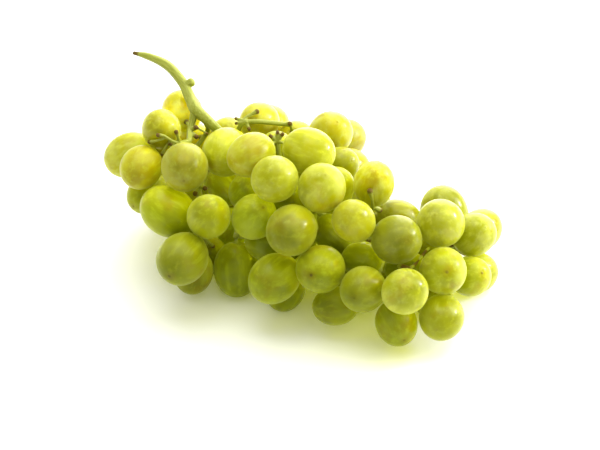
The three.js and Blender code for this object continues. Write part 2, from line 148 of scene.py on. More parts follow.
SPRAYS: tuple[SprayPlan, ...] = (
    SprayPlan(
        "shoulder_spray",
        0,
        ((-55, 47.5, -17), (-56.8, 41, -9), (-70, 42.5, -18)),
        (
            (-84.5, 35, -19, 21.5),
            (-79.2, 28.8, 2, 20.5),
            (-68.5, 47.3, -8, 19),
            (-67.5, 37.5, -34, 19),
            (-56.6, 28.6, 6, 23),
            (-59, 57, -34, 20),
        ),
        twig=1.5,
        ripeness=0.9,
        lightness={0: 1.08, 1: 1.05, 2: 1.04, 4: 0.72, 5: 1.45},
    ),
    SprayPlan(
        "shoulder_back_spray",
        1,
        ((-47, 45.5, -34), (-60, 30, -30)),
        ((-53.5, 41.5, -48, 19.5), (-76, 16, -13, 19.5)),
        ripeness=0.7,
        lightness={0: 1.22, 1: 1.24},
    ),
    SprayPlan(
        "left_low_spray",
        2,
        ((-46.5, 30, -14), (-50.5, 20, -3), (-49, -4, 0)),
        (
            (-64.4, 5.4, 7, 24.5),
            (-43.6, 4.2, 17, 21.3),
            (-58.5, -15.2, 9, 24.5),
            (-50.5, -22.5, -12, 19),
            (-46, -14, -20, 18),
            (-56, -2, -16, 18),
            (-39, 20, -18, 18),
        ),
        lightness={0: 1.45, 1: 1.13, 2: 0.82, 3: 0.88, 6: 1.6},
    ),
    SprayPlan(
        "top_left_spray",
        2.6,
        ((-32, 44, -19), (-27, 51.5, -10), (-5, 50.3, -16)),
        (
            (-37, 36.5, -2, 23.5),
            (-35.5, 44, -38, 20),
            (-20.3, 51.6, -22, 19),
            (-15.5, 50.5, -41, 20),
            (-1.5, 43, -27, 19),
        ),
        lightness={0: 1.3, 2: 0.97},
    ),
    SprayPlan("under_left_spray", 3.5, ((-39, 23.5, -42),)),
    SprayPlan(
        "top_middle_spray",
        4.8,
        ((-9.5, 27.5, 2), (-11.5, 42, 6)),
        ((-24.5, 35, 15, 21.5), (4.5, 36.5, 15, 23), (-12.5, 23, 29, 23), (-11.5, 38, -9, 17)),
        lightness={0: 1.05, 1: 1.26, 3: 1.1},
    ),
    SprayPlan(
        "middle_left_spray",
        4.4,
        ((-30, 9.5, -12), (-32, -5.5, -6)),
        (
            (-24, 3.5, 17, 22),
            (-26.5, 16.5, 0, 18),
            (-33, -21.5, -11, 23),
            (-17.5, -9, 4, 18),
            (-34, -2, -26, 18),
        ),
        ripeness=0.25,
        lightness={0: 1.3, 1: 1.53, 2: 1.05, 3: 1.07, 4: 1.95},
    ),
    SprayPlan("under_middle_spray", 5.2, ((-8, 6.5, -34),)),
    SprayPlan(
        "middle_spray",
        5.6,
        ((-2, 9, 0), (7, 5.5, 8)),
        (
            (11, 18.5, 29, 23.5),
            (16.5, 15.5, 7, 20),
            (-4.5, -2, 30, 24.5),
            (-4, 11, 12, 18),
            (14.5, -1.5, 8, 18),
        ),
        lightness={0: 1.12, 2: 0.82, 4: 1.13},
    ),
    SprayPlan(
        "back_right_spray",
        5.9,
        ((11, 26.5, -18), (9, 36.5, -36)),
        (
            (15, 43.2, -22, 21.5),
            (22, 42.5, -44, 20),
            (19, 30, -2, 18),
            (23.5, 29.5, -28, 20),
        ),
        ripeness=0.6,
        lightness={1: 0.66, 2: 0.81},
    ),
    SprayPlan(
        "low_middle_spray",
        6.3,
        ((1, -15.5, 6), (18.5, -16.5, 6)),
        (
            (-12, -26.7, 22, 24),
            (-7, -31.5, -1, 19),
            (10, -22.5, 27, 23.5),
            (28, -16.5, 16, 18),
        ),
        ripeness=0.25,
        lightness={0: 1.04, 2: 1.04, 3: 1.15},
    ),
    SprayPlan(
        "top_right_spray",
        7,
        ((35, 5.5, 4), (38, -7.5, 8)),
        (
            (34.8, 20.2, 12, 20),
            (28, 1.5, 34, 20.7),
            (48.5, -7, 26, 24),
            (49, 2, 4, 21.5),
        ),
        ripeness=0.45,
        lightness={0: 1.25, 2: 0.68, 3: 0.74},
    ),
    SprayPlan("under_right_spray", 7.4, ((25, -7.5, -24),)),
    SprayPlan(
        "low_right_spray",
        7.8,
        ((40, -23.5, 12), (43, -37.5, 14)),
        (
            (32, -30, 29, 22),
            (19, -38.5, 11, 19),
            (50.5, -34, 42, 22.5),
            (48, -46.5, 24, 20.5),
            (50, -21.5, 14, 17),
        ),
        ripeness=0.25,
        lightness={0: 0.81, 1: 0.93},
    ),
    SprayPlan(
        "low_tip_spray",
        8.6,
        ((67, -21.5, -4), (77.5, -28, -2)),
        (
            (70.5, -21.5, 27, 23),
            (84.5, -23, 9, 19.5),
            (88, -24, -12, 19.5),
            (67.5, -46.5, 22, 21.5),
            (70.5, -35.5, 8, 17),
        ),
        lightness={0: 1.13, 1: 1.2, 3: 0.94},
    ),
    SprayPlan(
        "tip_spray",
        9,
        ((77.5, -11, -8),),
        (
            (69.7, -1.6, 22, 23.4),
            (73.7, 4.8, 0, 23.5),
            (84.5, -6.8, 11, 21),
            (89.6, -2.4, -18, 20.5),
            (63, -10, 4, 18),
        ),
        lightness={1: 0.85, 2: 0.94},
    ),
)


@dataclass(frozen=True)
class BunchShape:
    """The driving sizes of the bunch, in millimetres, and its measured places.

    The fourth number of a place on a stem is the stem's radius there, and pedicel is a radius.
    The room kept for a pedicel stops at pedicel_end, a share of the way from its berry's centre
    to its knot.
    """

    length_to_width: float = 1.21
    clearance: float = 0.5
    flattened: float = 0.9
    rachis_room: float = 2.3
    stalk_slack: float = 0.3
    pedicel: float = 0.8
    pedicel_end: float = 0.4
    shortest_pedicel: float = 3.0
    node_gap: float = 0.35
    stalk: tuple[StemPlace, ...] = (
        (-83, 86, -30, 1),
        (-75, 84, -28, 2),
        (-66, 79.5, -26, 2.6),
        (-59, 71.5, -24, 2.7),
        (-55, 63.5, -21, 3),
    )
    knob: StemPlace = (-54.2, 71.5, -22.5, 2.2)
    rachis: tuple[StemPlace, ...] = (
        (-52.3, 58, -18, 3.3),
        (-47, 53, -17, 2.8),
        (-40.5, 47, -20, 2.4),
        (-34, 41.5, -21, 2.2),
        (-25, 33.5, -17, 2),
        (-10, 20, -11, 2),
        (10, 5.5, -7, 1.9),
        (30, -6.5, -2, 1.8),
        (47.5, -14.5, -6, 1.6),
        (62, -15.5, -14, 1.4),
    )
    sprays: tuple[SprayPlan, ...] = SPRAYS


@dataclass(frozen=True)
class FillRule:
    """How berries are filled in behind and under those that show.

    Each round tries them at one distance from every knot, no closer to each other than its
    second number. One that comes within behind_reach of a berry that shows, as they are seen,
    lies at least behind further back. Its edge stays inside the edges of those that show, made
    wider by outline_slack. Lengths are millimetres.
    """

    seed: int = 4711
    rounds: tuple[Span, ...] = ((19, 18.5), (24, 19), (29, 19.5))
    directions: int = 34
    width: float = 20.5
    width_range: float = 2.0
    lowest_centre: float = 10.3
    knot_room: float = 15.5
    farthest_knot: float = 31.0
    behind: float = 7.0
    behind_reach: float = 19.0
    outline_slack: float = 1.12
    outline_points: int = 8
    stem_room: float = 0.9


@dataclass(frozen=True)
class SettleRule:
    """How the berries settle against each other, the stems and the surface.

    Give is the share of a push that a berry takes, and home the share of the way back to its
    first place, which fades to nothing once the share fade of the steps is done. Where a berry
    that shows overlaps a hidden one, it moves by share_shown of the overlap, and the hidden one
    by the rest. Longest_step is in millimetres.
    """

    steps: int = 240
    fade: float = 0.8
    longest_step: float = 1.5
    give_shown: float = 0.4
    give_behind: float = 0.8
    home_shown: float = 0.25
    home_behind: float = 0.1
    home_depth: float = 0.06
    share_shown: float = 0.3
    surface_push: float = 0.7
    pedicel_sunk: float = 0.85


class Draw:
    """A seeded run of random numbers, the same each time."""

    FACTOR = 16807
    MODULUS = 2**31 - 1

    def __init__(self, seed: int) -> None:
        """Starts the run at a seed."""
        self.value = seed

    def __call__(self) -> float:
        """The next number, from 0 to 1."""
        self.value = self.value * self.FACTOR % self.MODULUS
        return self.value / self.MODULUS


@dataclass
class Berry:
    """One berry: where it is, which knot its pedicel grows from, and its size."""

    spray: str
    knot: Array
    centre: Array
    half_width: float
    half_length: float
    shown: bool
    seen: Array

    @property
    def axis(self) -> Array:
        """The direction from its knot through the berry, which its long axis follows."""
        away = self.centre - self.knot
        return away / np.linalg.norm(away)


@dataclass(frozen=True)
class Stem:
    """A straight length of stem that berries keep clear of."""

    spray: str
    start: Array
    end: Array
    radius: float


def gap_between(a0: Array, a1: Array, b0: Array, b1: Array) -> float:
    """The shortest distance between two straight lengths.

    Args:
        a0: the start of the first.
        a1: its end.
        b0: the start of the second.
        b1: its end.

    Returns:
        The distance in millimetres.
    """
    along_a, along_b, between = a1 - a0, b1 - b0, a0 - b0
    length_a, length_b = float(along_a @ along_a), float(along_b @ along_b)
    tilt = float(along_a @ along_b)
    from_a, from_b = float(along_a @ between), float(along_b @ between)
    spread = length_a * length_b - tilt * tilt
    on_a = 0.0
    if spread > TINY:
        on_a = min(1.0, max(0.0, (tilt * from_b - from_a * length_b) / spread))
    on_b = (tilt * on_a + from_b) / length_b
    if on_b < 0:
        on_b, on_a = 0.0, min(1.0, max(0.0, -from_a / length_a))
    elif on_b > 1:
        on_b, on_a = 1.0, min(1.0, max(0.0, (tilt - from_a) / length_a))
    return float(np.linalg.norm(a0 + along_a * on_a - b0 - along_b * on_b))


def extent(axis: Array, half_length: Array, half_width: Array, direction: Array) -> Array:
    """How far berries stand from their centres towards directions.

    Args:
        axis: the direction of each long axis.
        half_length: half of each length.
        half_width: half of each width.
        direction: the direction asked about, for each.

    Returns:
        The distances in millimetres.
    """
    along = (axis * direction).sum(-1)
    flat = np.maximum(0, 1 - along * along)
    return np.sqrt((half_length * along) ** 2 + half_width**2 * flat)


def spiral_direction(index: int, count: int, phase: float) -> Array:
    """One of many directions that a golden spiral spreads evenly over a sphere.

    Args:
        index: which of them, from 0.
        count: how many there are.
        phase: the turn at which the spiral starts.

    Returns:
        The direction, of length 1.
    """
    height = 1 - 2 * (index + 0.5) / count
    flat, turn = math.sqrt(1 - height * height), phase + index * GOLDEN_TURN
    return np.array([flat * math.cos(turn), flat * math.sin(turn), height])


@dataclass
class Settling:
    """The berries while they settle against each other, the stems and the surface.

    In each step those that overlap something move off it, and all are drawn back home.
    """

    rule: SettleRule
    shape: BunchShape
    near: Array
    berries: Sequence[Berry]
    stems: Sequence[Stem]

    def __post_init__(self) -> None:
        """Puts the places and sizes of the berries and the fixed stems into arrays."""
        self.centre, self.knot, self.width, self.length, self.shown = (
            np.array([getattr(berry, key) for berry in self.berries])
            for key in ("centre", "knot", "half_width", "half_length", "shown")
        )
        self.starts, self.ends = (
            np.array([getattr(stem, key) for stem in self.stems]) for key in ("start", "end")
        )
        own_stems = [self.shape.pedicel] * len(self.berries)
        self.radii = np.array([stem.radius for stem in self.stems] + own_stems)
        self.home = self.centre.copy()
        self.pairs = np.triu_indices(len(self.berries), 1)
        first, second = (self.shown[side] for side in self.pairs)
        self.share = np.full(len(first), EVEN_SHARE)
        self.share[first & ~second] = self.rule.share_shown
        self.share[~first & second] = 1 - self.rule.share_shown

    def run(self) -> Array:
        """Takes all the steps.

        Returns:
            The berries' centres, one row for each.
        """
        for step in range(self.rule.steps):
            pull = max(0.0, 1 - step / (self.rule.steps * self.rule.fade))
            axis = self.centre - self.knot
            reach = np.linalg.norm(axis, axis=1)
            axis /= reach[:, None]
            move = np.zeros_like(self.centre)
            self.part_berries(move, axis)
            self.part_from_stems(move, axis)
            too_near = np.maximum(self.length + self.shape.shortest_pedicel - reach, 0)
            move += axis * (too_near * EVEN_SHARE)[:, None]
            underside = self.centre[:, 2] - extent(axis, self.length, self.width, UPWARDS)
            sunk = np.maximum(-self.shape.flattened - underside, 0)
            move[:, 2] += sunk * self.rule.surface_push
            self.centre = self.centre + self.taken(move, pull)
        return self.centre

    def part_berries(self, move: Array, axis: Array) -> None:
        """Moves berries that overlap apart.

        Args:
            move: each berry's move in this step, which is added to.
            axis: the direction of each berry's long axis.
        """
        first, second = self.pairs
        way = self.centre[second] - self.centre[first]
        apart = np.linalg.norm(way, axis=1)
        way /= apart[:, None]
        both = extent(axis[first], self.length[first], self.width[first], way)
        both += extent(axis[second], self.length[second], self.width[second], way)
        overlap = np.maximum(both + self.shape.clearance - apart, 0)
        np.add.at(move, first, -way * (overlap * self.share)[:, None])
        np.add.at(move, second, way * (overlap * (1 - self.share))[:, None])

    def part_from_stems(self, move: Array, axis: Array) -> None:
        """Moves berries off stems. A pedicel that is in the way takes its berry with it.

        Args:
            move: each berry's move in this step, which is added to.
            axis: the direction of each berry's long axis.
        """
        count, fixed = len(self.berries), len(self.stems)
        start = np.vstack([self.starts, self.knot])
        pedicel_ends = self.centre - axis * self.length[:, None] * self.rule.pedicel_sunk
        along = np.vstack([self.ends, pedicel_ends]) - start
        squared = np.maximum((along * along).sum(-1), TINY)
        spot = ((self.centre[:, None] - start) * along).sum(-1) / squared
        spot = np.clip(spot, 0, 1)
        way = self.centre[:, None] - (start + along * spot[..., None])
        apart = np.linalg.norm(way, axis=-1)
        way /= np.maximum(apart, TINY)[..., None]
        room = extent(axis[:, None], self.length[:, None], self.width[:, None], way)
        overlap = np.maximum(room + self.radii + self.shape.clearance - apart, 0)
        overlap[np.arange(count), fixed + np.arange(count)] = 0
        move += (way * (overlap * EVEN_SHARE)[..., None]).sum(1)
        move -= (way * (overlap * spot * EVEN_SHARE)[..., None]).sum(0)[fixed:]

    def taken(self, move: Array, pull: float) -> Array:
        """The part of a move that is taken, with the pull back home.

        Args:
            move: each berry's move.
            pull: how strongly home pulls in this step, from 1 down to 0.

        Returns:
            The moves that are taken.
        """
        rule, near = self.rule, self.near
        back = self.home - self.centre
        back_depth, depth = back @ near, move @ near
        give = np.where(self.shown, rule.give_shown, rule.give_behind)
        to_home = np.where(self.shown, rule.home_shown, rule.home_behind) * pull
        depth_pull = np.where(self.shown, rule.home_depth, 0) * pull
        move = (move - depth[:, None] * near) * give[:, None]
        move += (depth + back_depth * depth_pull)[:, None] * near
        move += (back - back_depth[:, None] * near) * to_home[:, None]
        size = np.linalg.norm(move, axis=1)
        return move * np.minimum(1, rule.longest_step / np.maximum(size, TINY))[:, None]


@dataclass
class BunchPlan:
    """Works out where every berry and stem lies."""

    plane: MeasuringPlane = field(default_factory=MeasuringPlane)
    shape: BunchShape = field(default_factory=BunchShape)
    fill: FillRule = field(default_factory=FillRule)
    settle: SettleRule = field(default_factory=SettleRule)
    stems: list[Stem] = field(default_factory=list)
    knots: list[tuple[str, Array]] = field(default_factory=list)
    twigs: dict[str, list[Array]] = field(default_factory=dict)
    berries: list[Berry] = field(default_factory=list)

    def work_out(self) -> None:
        """Lays out the stems, places the berries and settles them."""
        self.lay_stems()
        fixed = list(self.stems)
        for spray in self.shape.sprays:
            for measured in spray.berries:
                self.place_shown(spray.name, measured)
        draw = Draw(self.fill.seed)
        for distance, spacing in self.fill.rounds:
            self.fill_behind(draw, distance, spacing)
        near = -self.plane.looking
        settled = Settling(self.settle, self.shape, near, self.berries, fixed).run()
        for berry, centre in zip(self.berries, settled):
            berry.centre = centre

    def rachis_point(self, count: float) -> Array:
        """A point on the main stem.

        Args:
            count: its place counted along the main stem's measured places.

        Returns:
            The point in millimetres.
        """
        places = self.shape.rachis
        first = min(int(count), len(places) - 2)
        start, end = (self.plane.place(places[first + i]) for i in (0, 1))
        return start + (end - start) * (count - first)

    def lay_stems(self) -> None:
        """Lays out the stalk, the main stem and each spray's twig."""
        shape, place = self.shape, self.plane.place
        for places in (shape.rachis, (*shape.stalk, shape.rachis[0])):
            for start, end in zip(places, places[1:]):
                room = max(start[3], end[3]) + shape.stalk_slack
                self.stems.append(Stem("stalk", place(start), place(end), room))
        for spray in shape.sprays:
            root = self.rachis_point(spray.leaves_at)
            points = [place(measured) for measured in spray.knots]
            outwards = (points[0] - root) / np.linalg.norm(points[0] - root)
            start = root + outwards * (shape.rachis_room + shape.node_gap)
            for point in points:
                self.stems.append(Stem(spray.name, start, point, spray.twig))
                self.knots.append((spray.name, point))
                start = point
            self.twigs[spray.name] = [root, *points]

    def pedicel_end(self, knot: Array, centre: Array) -> Array:
        """The point inside a berry at which the room kept for its pedicel ends."""
        return centre + (knot - centre) * self.shape.pedicel_end

    def add_berry(self, spray: str, knot: Array, centre: Array, width: float, shown: bool) -> None:
        """Adds a berry and its pedicel to the plan.

        Args:
            spray: the spray that it grows on.
            knot: the knot that its pedicel grows from.
            centre: its centre.
            width: its width.
            shown: whether it is one of those that show.
        """
        half = width / 2
        length = half * self.shape.length_to_width
        seen = self.plane.measure(centre)
        self.berries.append(Berry(spray, knot, centre, half, length, shown, seen))
        end = self.pedicel_end(knot, centre)
        self.stems.append(Stem(spray, knot, end, self.shape.pedicel))

    def place_shown(self, spray: str, measured: StemPlace) -> None:
        """Places a berry that shows, on the nearest knot of its spray.

        Args:
            spray: the spray that it grows on.
            measured: its place, and its width as it is seen in the plane.
        """
        centre = self.plane.place(measured)
        knot = min(self.twigs[spray][1:], key=lambda point: np.linalg.norm(point - centre))
        eye = self.plane.eye_distance
        self.add_berry(spray, knot, centre, measured[3] * (eye - measured[2]) / eye, True)

    def lies_behind(self, centre: Array, half_width: float) -> bool:
        """Whether a berry would hide behind those that show, inside their common outline.

        Args:
            centre: its centre.
            half_width: half of its width.

        Returns:
            Whether it hides.
        """
        rule = self.fill
        across, up, near = self.plane.measure(centre)
        shown = [berry for berry in self.berries if berry.shown]
        for berry in shown:
            apart = math.hypot(across - berry.seen[0], up - berry.seen[1])
            if near > berry.seen[2] - rule.behind and apart < rule.behind_reach:
                return False
        for i in range(rule.outline_points):
            turn = i * 2 * math.pi / rule.outline_points
            edge = (across + half_width * math.cos(turn), up + half_width * math.sin(turn))
            if not any(
                math.hypot(edge[0] - berry.seen[0], edge[1] - berry.seen[1])
                < berry.half_width * rule.outline_slack
                for berry in shown
            ):
                return False
        return True

    def free_knot(self, centre: Array) -> tuple[str, Array] | None:
        """The nearest knot that a pedicel reaches without crossing another spray's stems.

        Args:
            centre: the berry's centre.

        Returns:
            The spray and the knot, or None if no knot is within reach.
        """
        rule = self.fill
        room = self.shape.pedicel + rule.stem_room
        for spray, point in sorted(self.knots, key=lambda knot: np.linalg.norm(knot[1] - centre)):
            if np.linalg.norm(point - centre) > rule.farthest_knot:
                return None
            end = self.pedicel_end(point, centre)
            if all(
                stem.spray == spray
                or gap_between(point, end, stem.start, stem.end) > stem.radius + room
                for stem in self.stems
            ):
                return spray, point
        return None

    def has_room(self, centre: Array, width: float, spacing: float) -> bool:
        """Whether a berry behind the others has room, and is out of sight.

        Args:
            centre: its centre.
            width: its width.
            spacing: the least distance between two berries' centres.

        Returns:
            Whether it can be there.
        """
        knots = (point for _, point in self.knots)
        return (
            all(np.linalg.norm(berry.centre - centre) >= spacing for berry in self.berries)
            and all(np.linalg.norm(point - centre) >= self.fill.knot_room for point in knots)
            and self.lies_behind(centre, width / 2)
        )

    def fill_behind(self, draw: Draw, distance: float, spacing: float) -> None:
        """Tries berries round every knot, and keeps those that find room out of sight.

        Args:
            draw: the run of random numbers.
            distance: how far from the knot they are tried.
            spacing: the least distance between two berries' centres.
        """
        rule = self.fill
        for _, point in self.knots:
            phase = draw() * 2 * math.pi
            for i in range(rule.directions):
                centre = point + spiral_direction(i, rule.directions, phase) * distance
                width = rule.width + rule.width_range * draw()
                if centre[2] < 0:
                    continue
                centre[2] = max(centre[2], rule.lowest_centre)
                knot = self.free_knot(centre) if self.has_room(centre, width, spacing) else None
                if knot is not None:
                    self.add_berry(*knot, centre, width, False)


# ---- meshes -----------------------------------------------------------------------------------


class Slot(Enum):
    """The record's material slots."""

    SKIN = "grape_skin"
    STEM = "green_stem"


@dataclass
class Surface:
    """Points and faces of closed bodies, with the values that their finish reads."""

    points: list[Array] = field(default_factory=list)
    faces: list[Array] = field(default_factory=list)
    values: dict[str, list[Array]] = field(default_factory=dict)
    count: int = 0

    def add(self, points: Array, faces: Sequence[Array], **values: Array) -> None:
        """Adds one closed body.

        Args:
            points: its points, in millimetres.
            faces: its triangles and quads, as point numbers of this body.
            values: one number or one vector for each point, by name.
        """
        self.points.append(points)
        self.faces.extend(part + self.count for part in faces)
        for name, value in values.items():
            self.values.setdefault(name, []).append(value)
        self.count += len(points)

    def to_object(self, name: str) -> bpy.types.Object:
        """Makes the Blender object, in metres and shaded smooth.

        Args:
            name: its name.

        Returns:
            The object, in the scene.
        """
        mesh = bpy.data.meshes.new(name)
        faces = [face for part in self.faces for face in part.tolist()]
        mesh.from_pydata((np.vstack(self.points) * MM).tolist(), [], faces)
        for key, parts in self.values.items():
            store(mesh, key, np.concatenate(parts))
        mesh.shade_smooth()
        made = bpy.data.objects.new(name, mesh)
        bpy.context.scene.collection.objects.link(made)
        return made


def store(mesh: bpy.types.Mesh, name: str, values: Array) -> None:
    """Stores one number or one vector for each point of a mesh.

    Args:
        mesh: the mesh that takes them.
        name: what the finish calls them.
        values: the numbers, or rows of three.
    """
    kind, key = ("FLOAT", "value") if values.ndim == 1 else ("FLOAT_VECTOR", "vector")
    layer = mesh.attributes.new(name, kind, "POINT")
    layer.data.foreach_set(key, values.astype(np.float32).ravel())


def side_directions(axis: Array) -> tuple[Array, Array]:
    """Two directions square to an axis and to each other.

    Args:
        axis: the axis, of length 1.

    Returns:
        The two directions.
    """
    steep = abs(axis[2]) >= 0.9
    first = np.cross(axis, np.array([1.0, 0.0, 0.0]) if steep else UPWARDS)
    first /= np.linalg.norm(first)
    return first, np.cross(axis, first)


def ring_faces(sides: int, rings: int) -> list[Array]:
    """The faces of a closed body made of rings of points between two end points.

    Args:
        sides: how many points each ring has.
        rings: how many rings there are.

    Returns:
        The fan at the start, the quads between the rings and the fan at the end, as numbers of
        points that run from the start, ring by ring, to the end.
    """
    here = np.arange(sides)
    beside = (here + 1) % sides
    last = 1 + sides * (rings - 1)
    start_fan = np.stack([np.zeros_like(here), 1 + beside, 1 + here], axis=1)
    end_fan = np.stack([np.full_like(here, last + sides), last + here, last + beside], axis=1)
    rows = (1 + sides * np.arange(rings - 1))[:, None]
    corners = (rows + here, rows + beside, rows + sides + beside, rows + sides + here)
    return [start_fan, np.stack(corners, axis=-1).reshape(-1, 4), end_fan]


def soft_least(values: Array, limit: float, softness: float) -> Array:
    """The lesser of values and a limit, rounded where they meet."""
    return -softness * np.logaddexp(-values / softness, -limit / softness)


@dataclass
class BerryMaker:
    """Builds the berries: egg-shaped, slightly uneven, pressed flat where they touch.

    Each has a dimple at its stem, and a dent with a small raised scar at its far end. Their reaches
    are angles from the two ends, in radians, and the other lengths are millimetres. How ripe and
    how light a berry is goes to its finish, and so do painted light and shade: lighter where it is
    open to the lit side and on the side that faces it, darker in the shade of the others and on the
    far side, with a painted glow of backlight on some at the back.
    """

    plan: BunchPlan
    sides: int = 48
    rings: int = 34
    crowding: float = 0.6
    egg: float = 0.035
    egg_range: Span = (-0.6, 1)
    unevenness: float = 0.007
    lumps: int = 5
    lump_waves: Span = (1.8, 3.6)
    swell: float = 0.28
    dimple_depth: float = 0.9
    dimple_reach: float = 0.2
    scar_depth: float = 0.32
    scar_reach: float = 0.12
    nub_height: float = 0.36
    nub_reach: float = 0.05
    neighbour_reach: float = 40
    contact_reach: float = 1.2
    softness: float = 0.06
    floor_reach: float = 1
    # Painted light and shade: the lit side that lightens and darkens the skin's colour, its
    # contrast, and the painted shade on the far side.
    painted_light_side: Place = (0.4, 0.8, -0.2)
    rays: int = 96
    side_contrast: float = 0.65
    side_balance: float = 0.75
    most_exposed: float = 1.3
    # Painted shade on the far side of the bunch: how strongly points facing away are darkened.
    far_side: Place = (0.0, 0.0, -1.0)
    painted_far_shade: float = 0.4
    # Painted glow of backlight on berries that show at the back, added to their ripeness.
    golden_and_painted_glow: float = 1.2
    golden_from: float = 16
    golden_reach: float = 14
    ripeness_range: float = 0.15
    ripest: float = 1.6
    pattern_range: float = 500
    vein_stretch: float = 0.22
    seed: int = 17
    light_openness: Array = field(init=False)

    def __post_init__(self) -> None:
        """Works out how much each berry was exposed to the sun."""
        self.light_openness = self.find_light_openness()

    def find_light_openness(self) -> Array:
        """How much of the light from the lit side reaches each berry past the others, which sets
        its painted light and shade.

        Returns:
            The share for each berry.
        """
        spiral = (spiral_direction(i, self.rays, GOLDEN_TURN / 2) for i in range(self.rays))
        ways = np.stack(list(spiral), axis=1)
        light_weight = np.clip(self.plan.plane.direction(self.painted_light_side) @ ways, 0, 1)
        centres = np.array([berry.centre for berry in self.plan.berries])
        reach = np.array(
            [(berry.half_width + berry.half_length) / 2 for berry in self.plan.berries]
        )
        result = np.zeros(len(centres))
        for index, centre in enumerate(centres):
            offset = centres - centre
            along = offset @ ways
            aside = np.sqrt(np.maximum((offset**2).sum(1)[:, None] - along**2, 0))
            hit = (along > 0) & (aside < reach[:, None])
            hit[index] = False
            result[index] = light_weight[~hit.any(0)].sum() / light_weight.sum()
        return result

    def exposed_at(self, index: int, facing: Array) -> Array:
        """Painted light and shade on each side of a berry: the sides of a shaded berry differ most.

        Args:
            index: its number in the plan.
            facing: the direction that each of its points faces.

        Returns:
            The painted light at each point, about 0 to 1.
        """
        lit = facing @ self.plan.plane.direction(self.painted_light_side)
        whole = self.light_openness[index]
        exposed = whole + self.side_contrast * (self.side_balance - whole) * lit
        return np.clip(exposed, 0, self.most_exposed)

    def painted_shade_behind(self, facing: Array) -> Array:
        """How light the skin is by the way it faces: painted shade on the points that face the far
        side.

        Args:
            facing: the direction that each point faces.

        Returns:
            The share of its lightness that each point keeps.
        """
        away = facing @ self.plan.plane.direction(self.far_side)
        return 1 - self.painted_far_shade * np.clip(away, 0, 1)

    def grid(self) -> tuple[Array, Array]:
        """Where a berry's points are, on rings that crowd together towards its two ends.

        Returns:
            The angle of each point from the stem, and its turn round the long axis.
        """
        share = np.linspace(0, 1, self.rings + 1)
        polar = math.pi * (share - self.crowding * np.sin(2 * math.pi * share) / (2 * math.pi))
        turn = np.arange(self.sides) * 2 * math.pi / self.sides
        polar = np.concatenate([[0.0], np.repeat(polar[1:-1], self.sides), [math.pi]])
        return polar, np.concatenate([[0.0], np.tile(turn, self.rings - 1), [0.0]])

    def form(
        self, berry: Berry, polar: Array, radial: Array, facing: Array, random: np.random.Generator
    ) -> Array:
        """The shape of a berry that nothing touches.

        Args:
            berry: the berry.
            polar: the angle of each point from the stem.
            radial: the direction of each point from the long axis.
            facing: the direction of each point from the centre.
            random: the berry's random numbers.

        Returns:
            Its points, from its centre.
        """
        along, out = -np.cos(polar), np.sin(polar)
        uneven = np.ones(len(polar))
        for _ in range(self.lumps):
            way = random.normal(size=3)
            way /= np.linalg.norm(way)
            wave = random.uniform(*self.lump_waves) * (facing @ way)
            uneven += self.unevenness * np.sin(wave + random.uniform(0, 2 * math.pi))
        lean = 1 + self.egg * random.uniform(*self.egg_range) * along
        points = berry.axis * (along * berry.half_length)[:, None]
        points = points + radial * (out * lean * berry.half_width)[:, None]
        points = points * uneven[:, None] + facing * self.swell
        for distance, height, reach in (
            (polar, self.dimple_depth, self.dimple_reach),
            (math.pi - polar, -self.scar_depth, self.scar_reach),
            (math.pi - polar, self.nub_height, self.nub_reach),
        ):
            points += berry.axis * (height * np.exp(-((distance / reach) ** 2)))[:, None]
        return points

    def body(self, index: int) -> tuple[Array, list[Array], dict[str, Array]]:
        """Builds one berry.

        Args:
            index: its number in the plan.

        Returns:
            Its points, its faces and the values for its finish.
        """
        berry = self.plan.berries[index]
        random = np.random.default_rng(self.seed + index)
        polar, turn = self.grid()
        along, out = -np.cos(polar), np.sin(polar)
        first, second = side_directions(berry.axis)
        radial = first * np.cos(turn)[:, None] + second * np.sin(turn)[:, None]
        facing = berry.axis * along[:, None] + radial * out[:, None]
        form = self.form(berry, polar, radial, facing, random)
        points = self.pressed(index, form + berry.centre)

        offset = random.uniform(-self.pattern_range, self.pattern_range, size=3)
        sideways = np.stack([out * np.cos(turn), out * np.sin(turn)], axis=1)
        skin = np.column_stack([along * berry.half_length, sideways * berry.half_width])
        vein = np.column_stack([sideways, along * self.vein_stretch])
        values = {
            "skin_place": skin + offset,
            "vein_place": vein + offset,
            "to_scar": polar / math.pi,
            "ripeness": np.full(len(along), self.ripeness(index, random)),
            "wax": np.full(len(along), random.uniform(0, 1)),
            "blush": np.full(len(along), random.uniform(0, 1)),
            "scarred": np.full(len(along), random.uniform(0, 1) ** 3),
            # Painted light and shade for the finish: the painted light, and the lightness with
            # painted shade on the far side.
            "exposed": self.exposed_at(index, facing),
            "lightness": self.lightness(index) * self.painted_shade_behind(facing),
        }
        return points, ring_faces(self.sides, self.rings - 1), values

    def pressed(self, index: int, points: Array) -> Array:
        """Presses a berry's points flat against its neighbours and the surface.

        Args:
            index: its number in the plan.
            points: its points before.

        Returns:
            The points after.
        """
        berry = self.plan.berries[index]
        for other in self.plan.berries:
            way = other.centre - berry.centre
            apart = float(np.linalg.norm(way))
            if other is berry or apart > self.neighbour_reach:
                continue
            way /= apart
            mine, theirs = (
                float(extent(one.axis, one.half_length, one.half_width, way))
                for one in (berry, other)
            )
            gap = apart - mine - theirs
            if gap > self.contact_reach:
                continue
            reach = (points - berry.centre) @ way
            kept = soft_least(reach, mine + gap / 2, self.softness)
            points = points + way * (kept - reach)[:, None]
        height = self.softness * np.logaddexp(0, points[:, 2] / self.softness)
        points[:, 2] = np.where(points[:, 2] < self.floor_reach, height, points[:, 2])
        return points

